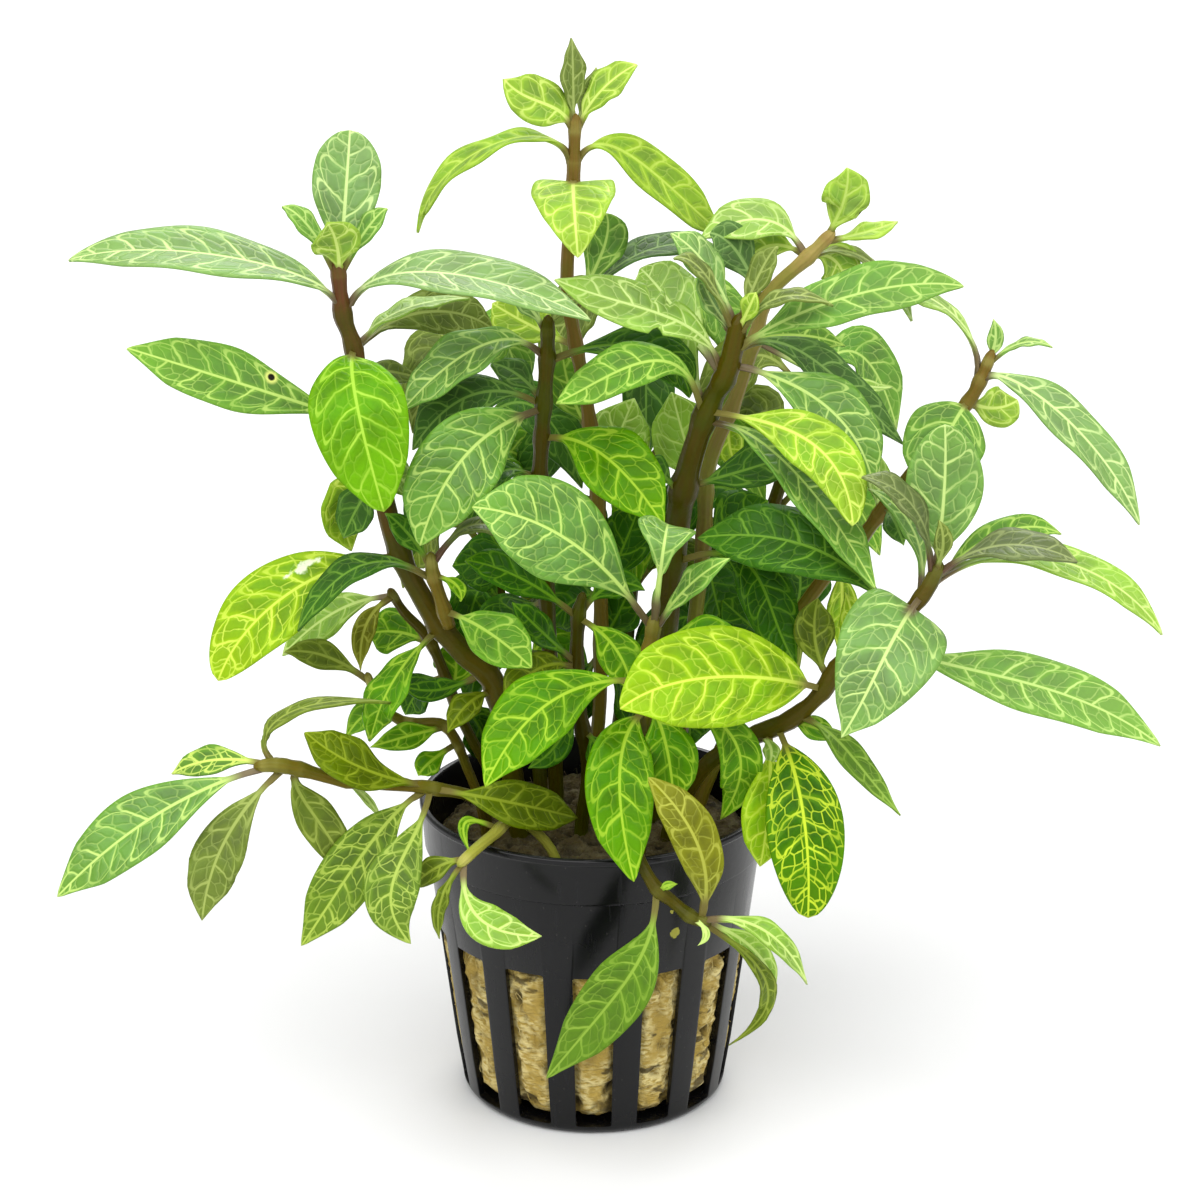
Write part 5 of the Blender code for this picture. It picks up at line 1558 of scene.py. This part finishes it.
        small((660, 892), [(666, 886, -33), (678, 884, -33)], 1.6, 10, Look.FRESH),
    ]),
    ("P", [
        small((370, 680), [(325, 656, -3), (284, 652, -4)], 5.8, 20, Look.OLIVE),
        small((445, 727), [(412, 735, -5), (370, 747, -7)], 5.5, 20, Look.FRESH),
        small((408, 722), [(372, 712, 1), (345, 740, 3)], 5.5, 20, Look.FRESH),
        small((455, 745), [(430, 762, -4), (418, 776, -5)], 5, 10, Look.FRESH),
    ]),
    ("Q", [
        small((393, 595), [(335, 612, 4), (282, 656, 4)], 7, 30, Look.PALE),
        small((392, 595), [(366, 625, -2), (361, 671, -3)], 4.5, 20, Look.BROWN),
        small((430, 643), [(398, 632, 8), (368, 634, 10)], 8, 20, Look.FRESH),
    ]),
    ("B", [
        small((599, 590), [(622, 550, 11), (640, 505, 12)], 10, 30, Look.DARK),
        small((599, 590), [(575, 600, 12), (548, 625, 14)], 10, 30, Look.DARK),
        small((600, 660), [(630, 690, 13), (655, 735, 14)], 10, 30, Look.DARK),
        small((600, 660), [(578, 690, 14), (565, 735, 15)], 9, 30, Look.DARK),
    ]),
    ("E", [
        small((703, 540), [(735, 520, 16), (768, 500, 18)], 10.5, 30, Look.DARK),
        small((703, 540), [(712, 582, 17), (722, 622, 18)], 11.5, 30, Look.DARK),
        small((699, 660), [(690, 700, 14), (690, 748, 14)], 11.5, 30, Look.DARK),
    ]),
    ("F", [
        small((790, 628), [(800, 590, 12), (795, 550, 14)], 10.5, 30, Look.DARK),
        small((775, 650), [(750, 625, 14), (722, 600, 16)], 10.5, 30, Look.DARK),
    ]),
    ("C", [
        small((545, 580), [(500, 564, 5), (452, 566, 7)], 11, 30, Look.DARK),
        small((546, 600), [(510, 620, 8), (480, 650, 10)], 10.5, 30, Look.DARK),
    ]),
    ("Q", [
        small((455, 705), [(478, 725, 10), (490, 765, 11)], 8, 30, Look.DARK),
        small((445, 675), [(420, 690, 10), (405, 715, 11)], 7, 30, Look.DARK),
    ]),
    ("B", [
        small((597, 500), [(612, 455, 14), (634, 398, 18)], 11.5, 20, Look.PALE),
    ]),
    ("E", [
        small((707, 490), [(688, 450, 14), (672, 392, 16)], 11.5, 20, Look.PALE),
    ]),
    ("B", [
        small((599, 565), [(580, 530, 12), (570, 488, 14)], 10.5, 20, Look.DARK),
        small((599, 640), [(615, 620, 11), (630, 588, 12)], 8, 20, Look.DARK),
        small((590, 430), [(572, 396, 9), (562, 352, 12)], 8, 20, Look.FRESH),
    ]),
    ("Q", [
        small((450, 690), [(456, 668, 9), (452, 636, 10)], 8, 20, Look.FRESH),
    ]),
    ("F", [
        small((838, 563), [(842, 600, 9), (838, 650, 10)], 6, 20, Look.LIME),
    ]),
]

# The shoots at the back, which the photograph shows only through gaps
BACK_LEAVES = {
    "R": BackLeaves(6, 0.125, 60.0),
    "S": BackLeaves(5, 0.125, 0.0),
    "T": BackLeaves(5, 0.14, 20.0),
}


@dataclass
class Plant:
    """All the shoots with their leaves."""

    wardrobe: Wardrobe
    seed: int = 7

    def build(self) -> None:
        """Build every shoot and leaf, and set each in the place of its solid."""
        back = [(key, pairs.blades(SHOOTS[key])) for key, pairs in BACK_LEAVES.items()]
        dice = random.Random(self.seed)
        grown: dict[str, list[Object]] = {key: [] for key in SHOOTS}
        joints: dict[str, list[Vector]] = {key: [] for key in SHOOTS}
        for key, blade in ((key, blade) for key, blades in BLADES + back for blade in blades):
            joints[key].append(SHOOTS[key].nearest(blade.base)[0])
            made = blade.build(SHOOTS[key], dice, self.wardrobe)
            if blade.node:
                stand_for(made, blade.node, blade.look.value.slot)
            else:
                grown[key].append(made)
        for key, shoot in SHOOTS.items():
            tube = shoot.build(joints[key], dice.random(), self.wardrobe.skin(shoot.skin))
            whole = join([tube, *grown[key]], shoot.node + "_shoot")
            stand_for(whole, shoot.node, "stem")


# The pot and the wool


@dataclass
class NetPot:
    """The slotted pot, in metres: a turned shell with a rolled lip, a collar band and open slots.

    Flakes are the pixel and the radius of each crumb of dried leaf that sticks to its front.
    """

    height: float = 0.050
    rim_radius: float = 0.0281
    lip_height: float = 0.0009
    lip_step: float = 0.0003
    collar_foot_z: float = 0.0424
    collar_foot_radius: float = 0.0274
    collar_step: float = 0.0004
    base_radius: float = 0.0217
    base_round: float = 0.0018
    wall: float = 0.0009
    floor_thickness: float = 0.0014
    soft: float = 0.0001
    sides: int = 168
    base_steps: int = 6
    lip_steps: int = 4
    slot_count: int = 14
    slot_foot_z: float = 0.0016
    slot_top_z: float = 0.0290
    slot_top_width: float = 0.0066
    slot_foot_width: float = 0.0056
    slot_round: float = 0.0004
    edge_round: float = 0.12 * MM
    sharp_degrees: float = 55
    smooth_degrees: float = 32
    flakes: tuple[tuple[Pair, float], ...] = (((675, 933), 0.75 * MM), ((672, 912), 0.35 * MM))

    def wall_radius(self, height: float) -> float:
        """The outer radius of the wall below the collar."""
        top = self.collar_foot_radius - self.collar_step
        return self.base_radius + (top - self.base_radius) * height / self.collar_foot_z

    def on_wall(self, pixel: Pair) -> Vector:
        """Where the view's line through a pixel of the pot's front meets its wall."""
        place = VIEW.seen(*pixel, -self.base_radius / MM)
        for _ in range(8):
            across = max(self.wall_radius(place.z) ** 2 - place.x**2, 0.0)
            place = VIEW.seen(*pixel, -math.sqrt(across) / MM)
        return place

    def inside_radius(self, height: float) -> float:
        """The inner radius of the wall, between the round at its floor and its collar."""
        low = self.wall_radius(0.0) - self.wall
        high = self.collar_foot_radius - self.collar_step - self.wall
        low_z = self.floor_thickness + self.wall
        return low + (high - low) * (height - low_z) / (self.collar_foot_z - low_z)

    def profile(self) -> list[Pair]:
        """The shell's section as (radius, height): from under its middle, out, up, over and in."""
        foot, quarter, soft = self.wall_radius(0.0), math.pi / 2, self.soft
        base_turns = [quarter * step / self.base_steps for step in range(self.base_steps, -1, -1)]
        lip_turns = [quarter * step / self.lip_steps for step in range(self.lip_steps + 1)]
        lip_z, collar_z = self.height - self.lip_height, self.collar_foot_z
        lip_middle, lip_round = self.rim_radius - 0.5 * self.wall, 0.45 * self.wall
        inner = self.rim_radius - self.lip_step - self.wall
        return [
            (4 * soft, 0.0),
            (0.5 * foot, 0.0),
            *(
                (
                    foot - self.base_round * (1 - math.cos(turn)),
                    self.base_round * (1 - math.sin(turn)),
                )
                for turn in base_turns
            ),
            (self.wall_radius(0.2 * collar_z), 0.2 * collar_z),
            (self.wall_radius(0.6 * collar_z), 0.6 * collar_z),
            (self.wall_radius(0.98 * collar_z), collar_z - self.collar_step),
            (self.collar_foot_radius - soft, collar_z - soft),
            (self.collar_foot_radius, collar_z + 2 * soft),
            (self.rim_radius - self.lip_step, lip_z - 4 * soft),
            (self.rim_radius - self.lip_step + soft, lip_z - soft),
            (self.rim_radius, lip_z + soft),
            *(
                (
                    lip_middle + 0.5 * self.wall * math.cos(turn),
                    self.height - lip_round * (1 - math.sin(turn)),
                )
                for turn in lip_turns
            ),
            (inner + 2 * soft, self.height - soft),
            (inner, self.height - 5 * soft),
            (self.inside_radius(collar_z), collar_z),
            (self.inside_radius(2.2 * self.wall), 2.2 * self.wall),
            (foot - 2.0 * self.wall, self.floor_thickness),
            (0.5 * foot, self.floor_thickness),
            (4 * soft, self.floor_thickness),
        ]

    def shell(self) -> Object:
        """The shell before its slots: a circle, extruded and resized ring by ring."""
        profile = self.profile()
        core = profile[0][0]
        circle = {"vertices": self.sides, "radius": core}
        shell = start_mesh(bpy.ops.mesh.primitive_circle_add, "net_pot", **circle)
        bpy.ops.object.mode_set(mode="EDIT")
        bpy.ops.mesh.select_all(action="SELECT")
        for (radius, height), (next_radius, next_height) in zip(profile, profile[1:]):
            lift, grow = (0.0, 0.0, next_height - height), next_radius / radius
            bpy.ops.mesh.extrude_region_move(TRANSFORM_OT_translate={"value": lift})
            middle = (0.0, 0.0, next_height)
            bpy.ops.transform.resize(value=(grow, grow, 1.0), center_override=middle)
        bpy.ops.mesh.merge(type="CENTER")
        bpy.ops.object.mode_set(mode="OBJECT")
        for corner in shell.data.vertices:
            corner.select = corner.co.z < 1e-6 and corner.co.xy.length < 1.01 * core
        bpy.ops.object.mode_set(mode="EDIT")
        bpy.ops.mesh.merge(type="CENTER")
        bpy.ops.object.mode_set(mode="OBJECT")
        face_outwards(shell)
        return shell

    def cutter(self, number: int) -> Object:
        """The block with round corners, wider at its top, that cuts one slot through the wall."""
        block = start_mesh(bpy.ops.mesh.primitive_cube_add, "slot_cutter", size=1.0)
        inner, outer = 0.6 * self.base_radius, self.rim_radius + 2 * MM
        for corner in block.data.vertices:
            top = corner.co.z > 0
            corner.co.x = inner if corner.co.x < 0 else outer
            corner.co.y *= self.slot_top_width if top else self.slot_foot_width
            corner.co.z = self.slot_top_z if top else self.slot_foot_z
        bpy.ops.object.mode_set(mode="EDIT")
        bpy.ops.mesh.select_mode(type="EDGE")
        bpy.ops.object.mode_set(mode="OBJECT")
        for edge in block.data.edges:
            ends = [block.data.vertices[corner].co.x for corner in edge.vertices]
            edge.select = max(ends) - min(ends) > MM
        bpy.ops.object.mode_set(mode="EDIT")
        bpy.ops.mesh.bevel(offset=self.slot_round, segments=4, affect="EDGES")
        bpy.ops.object.mode_set(mode="OBJECT")
        block.rotation_euler.z = -math.pi / 2 + math.tau * number / self.slot_count
        bpy.ops.object.transform_apply(location=False, rotation=True, scale=False)
        return block

    def build(self, finish: PlasticFinish) -> None:
        """The finished pot, in the place of its solid.

        Args:
            finish: Its plastic.
        """
        pot = self.shell()
        cutters = join([self.cutter(number) for number in range(self.slot_count)], "slot_cutters")
        apply_modifier(pot, "BOOLEAN", operation="DIFFERENCE", solver="EXACT", object=cutters)
        bpy.data.objects.remove(cutters)
        apply_modifier(
            pot,
            "BEVEL",
            width=self.edge_round,
            segments=2,
            limit_method="ANGLE",
            angle_limit=math.radians(self.sharp_degrees),
            use_clamp_overlap=True,
        )
        merge_doubles(pot, 1e-7)
        pot.data.materials.clear()
        flakes = [(self.on_wall(pixel), radius) for pixel, radius in self.flakes]
        pot.data.materials.append(finish.material(flakes))
        pick(pot)
        bpy.ops.object.shade_smooth_by_angle(angle=math.radians(self.smooth_degrees))
        stand_for(pot, "pot", "pot_plastic")


@dataclass
class WoolPlug:
    """The plug of mineral wool, in metres: torn, matted fibres that fill the pot to below its rim.

    The stations are where, from the middle of its top to the middle of its foot, its section's
    corners lie on the grid that it is made from.
    """

    pot: NetPot
    top_z: float = WOOL_TOP_Z
    foot_z: float = 0.0026
    gap: float = 0.0003
    sunk: float = 0.0006
    shoulder: Pair = (0.0020, 0.0030)
    stations: tuple[float, ...] = (0.0, 0.30, 0.34, 0.88, 0.91, 1.0)
    around: int = 252
    down: int = 132
    rough: float = 0.00075
    highest: float = 0.0012
    widest: float = 0.0011
    swell: float = 0.0010
    clump_scale: float = 260
    lump_scale: float = 900
    tear_scale: Triple = (380, 380, 300)
    tear_start: float = 0.22
    fibres: int = 700
    fibre_length: Pair = (0.0010, 0.0028)
    fibre_radius: float = 0.06 * MM
    fibre_steps: int = 4
    seed: int = 11

    def section(self, share: float) -> Pair:
        """The radius and height of a point of its section, from 0 at its top to 1 at its foot."""
        top = self.pot.inside_radius(self.pot.collar_foot_z) - self.gap
        foot = self.pot.inside_radius(self.foot_z) - self.gap
        inset, drop = self.shoulder
        corners = [
            (0.0, self.top_z - self.sunk),
            (top - inset, self.top_z - self.sunk),
            (top, self.top_z - drop),
            (foot, self.foot_z + inset),
            (foot - inset, self.foot_z),
            (0.0, self.foot_z),
        ]
        piece, part = stretch_of(self.stations, share)
        (low_r, low_z), (high_r, high_z) = corners[piece], corners[piece + 1]
        return low_r + (high_r - low_r) * part, low_z + (high_z - low_z) * part

    def bulge(self, angle: float, height: float) -> float:
        """How far the wool swells into the slots at an angle and a height, in metres."""
        pot = self.pot
        if height < pot.slot_foot_z or height > pot.slot_top_z:
            return 0.0
        pitch = math.tau / pot.slot_count
        offset = abs((angle + math.pi / 2 + 0.5 * pitch) % pitch - 0.5 * pitch) * pot.base_radius
        side = max(0.0, 1 - (offset / (0.5 * pot.slot_foot_width)) ** 4)
        end = min(1.0, (pot.slot_top_z - height) / 0.002)
        return self.swell * side * end

    def surface(self, angle: float, share: float) -> tuple[Vector, float]:
        """A point of its torn surface, and how deep in a hollow it lies, from 0 to 1."""
        radius, height = self.section(share)
        out = turned(angle)
        place = out * radius + UP * height
        clumps = noise.fractal(place * self.clump_scale, 1.0, 2.0, 4)
        lumps = noise.fractal(place * self.lump_scale + Vector((5.0, 3.0, 1.0)), 1.0, 2.0, 3)
        stretched = [part * scale for part, scale in zip(place, self.tear_scale)]
        torn = noise.noise(Vector(stretched))
        pit = max(0.0, torn - self.tear_start) * 2.4
        push = self.rough * (0.9 * clumps + 0.5 * lumps - 2.2 * pit)
        if share < self.stations[1]:
            moved = UP * min(push * 1.5, self.highest)
        else:
            moved = out * min(push + self.bulge(angle, height), self.widest)
        return place + moved, min(1.0, pit * 1.5)

    def build(self, wool: Material) -> None:
        """The finished plug with its loose fibres, in the place of its solid.

        Args:
            wool: Its material.
        """
        grid = {"x_subdivisions": self.around, "y_subdivisions": self.down, "size": 2.0}
        plug = start_mesh(bpy.ops.mesh.primitive_grid_add, "wool_plug", **grid)
        hollow = []
        for corner in plug.data.vertices:
            corner.co, depth = self.surface(math.pi * corner.co.x, (corner.co.y + 1) / 2)
            hollow.append(depth)
        # How deep each corner lies in a hollow, which the material darkens as painted shade
        point_attribute(plug, "hollow", hollow)
        merge_doubles(plug)
        face_outwards(plug)
        drop_maps(plug)
        dice = random.Random(self.seed)
        lines = [self.fibre(number, dice) for number in range(self.fibres)]
        loose = tubes("fibres", lines, self.fibre_radius, rings=0, capped=False)
        point_attribute(loose, "hollow", 0.0)
        whole = join([plug, loose], "wool_plug")
        whole.data.materials.clear()
        whole.data.materials.append(wool)
        pick(whole)
        bpy.ops.object.shade_smooth()
        stand_for(whole, "rockwool_plug", "mineral_wool")

    def fibre(self, number: int, dice: random.Random) -> Places:
        """A bent fibre that sticks out of the wool, as (place, share of its radius).

        Args:
            number: Which one it is: two in three are in the slots, the others on the top.
            dice: Seeded chance.

        Returns:
            Its points.
        """
        pot = self.pot
        pitch = math.tau / pot.slot_count
        if number % 3:
            angle = pitch * dice.randrange(pot.slot_count) - math.pi / 2
            angle += dice.uniform(-0.42, 0.42) * pitch * 0.5
            height = dice.uniform(pot.slot_foot_z + 0.003, pot.slot_top_z - 0.001)
            out = turned(angle)
            lean, flat = out * 0.10, out.cross(UP)
            heading = UP * dice.uniform(-1, 1) + flat * dice.uniform(-0.5, 0.5)
            start = out * (pot.inside_radius(height) + 0.0003) + UP * height
        else:
            out = turned(dice.random() * math.tau)
            start = out * (0.024 * math.sqrt(dice.random())) + UP * (self.top_z - self.sunk)
            lean = UP * 0.45
            heading = Vector((dice.uniform(-1, 1), dice.uniform(-1, 1), 0.1))
        heading.normalize()
        length = dice.uniform(*self.fibre_length)
        bend = Vector([dice.uniform(-1, 1) for _ in range(3)])
        line = []
        for step in range(self.fibre_steps + 1):
            share = step / self.fibre_steps
            place = start + heading * length * (share - 0.5)
            place += lean * length * math.sin(math.pi * share) * 0.8
            place += bend * 0.0004 * share * (1 - share) * 3
            line.append((place, 1.0 - 0.5 * abs(share - 0.5)))
        return line


# The studio


@dataclass(frozen=True)
class Lamp:
    """A broad far light, which falls on the plant and the floor evenly.

    It shines from its place, looks so many degrees wide from the plant, and its power is in watts
    on a square metre.
    """

    name: str
    place: Triple
    spread: float
    power: float
    aim: Triple = (0.0, 0.0, 0.08)

    def build(self) -> None:
        """Hang the light."""
        data = bpy.data.lights.new(self.name, "SUN")
        data.angle = math.radians(self.spread)
        data.energy = self.power
        lamp = place_object(self.name, data)
        lamp.location = self.place
        sight = Vector(self.aim) - Vector(self.place)
        lamp.rotation_euler = sight.to_track_quat("-Z", "Y").to_euler()


@dataclass
class Studio:
    """A white floor that sweeps to the picture's edges, and soft light from above and all sides."""

    floor_size: float = 12.0
    floor_colour: Colour = (221, 221, 221)
    floor_shade: Colour = (219, 219, 219)
    world_colour: tuple[float, float, float, float] = (1.0, 1.0, 1.0, 1.0)
    world_strength: float = 0.50
    lamps: tuple[Lamp, ...] = (
        Lamp("key", (-0.34, -0.80, 1.30), 76, 3.25),
        Lamp("fill", (0.85, -0.45, 0.75), 42, 1.0),
        Lamp("back", (0.15, 0.95, 1.0), 40, 1.3),
    )

    def build(self) -> None:
        """Make the floor, the world, the lights and the camera."""
        self.floor()
        self.world()
        for lamp in self.lamps:
            lamp.build()
        VIEW.make_camera()
        bpy.context.scene.view_settings.view_transform = "Standard"

    def floor(self) -> None:
        """The floor, which is no part of the object."""
        floor = start_mesh(bpy.ops.mesh.primitive_plane_add, "floor", size=self.floor_size)
        paint = Paint("floor_paint")
        shade = paint.noise(paint.here(), 3.0, 1.0)
        colour = paint.mix(shade, self.floor_shade, self.floor_colour)
        floor.data.materials.append(paint.finish(colour, 0.85, 0.2))

    def world(self) -> None:
        """Even white light from all around."""
        world = bpy.data.worlds.new("studio")
        world.use_nodes = True
        background = world.node_tree.nodes["Background"]
        background.inputs["Color"].default_value = self.world_colour
        background.inputs["Strength"].default_value = self.world_strength
        bpy.context.scene.world = world


def main() -> None:
    """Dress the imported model."""
    logging.basicConfig(level=logging.INFO, format="%(name)s: %(message)s")
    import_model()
    wardrobe = Wardrobe()
    pot = NetPot()
    pot.build(PlasticFinish())
    WoolPlug(pot).build(WoolFinish().material())
    Plant(wardrobe).build()
    Studio().build()


if __name__ == "__main__":
    main()
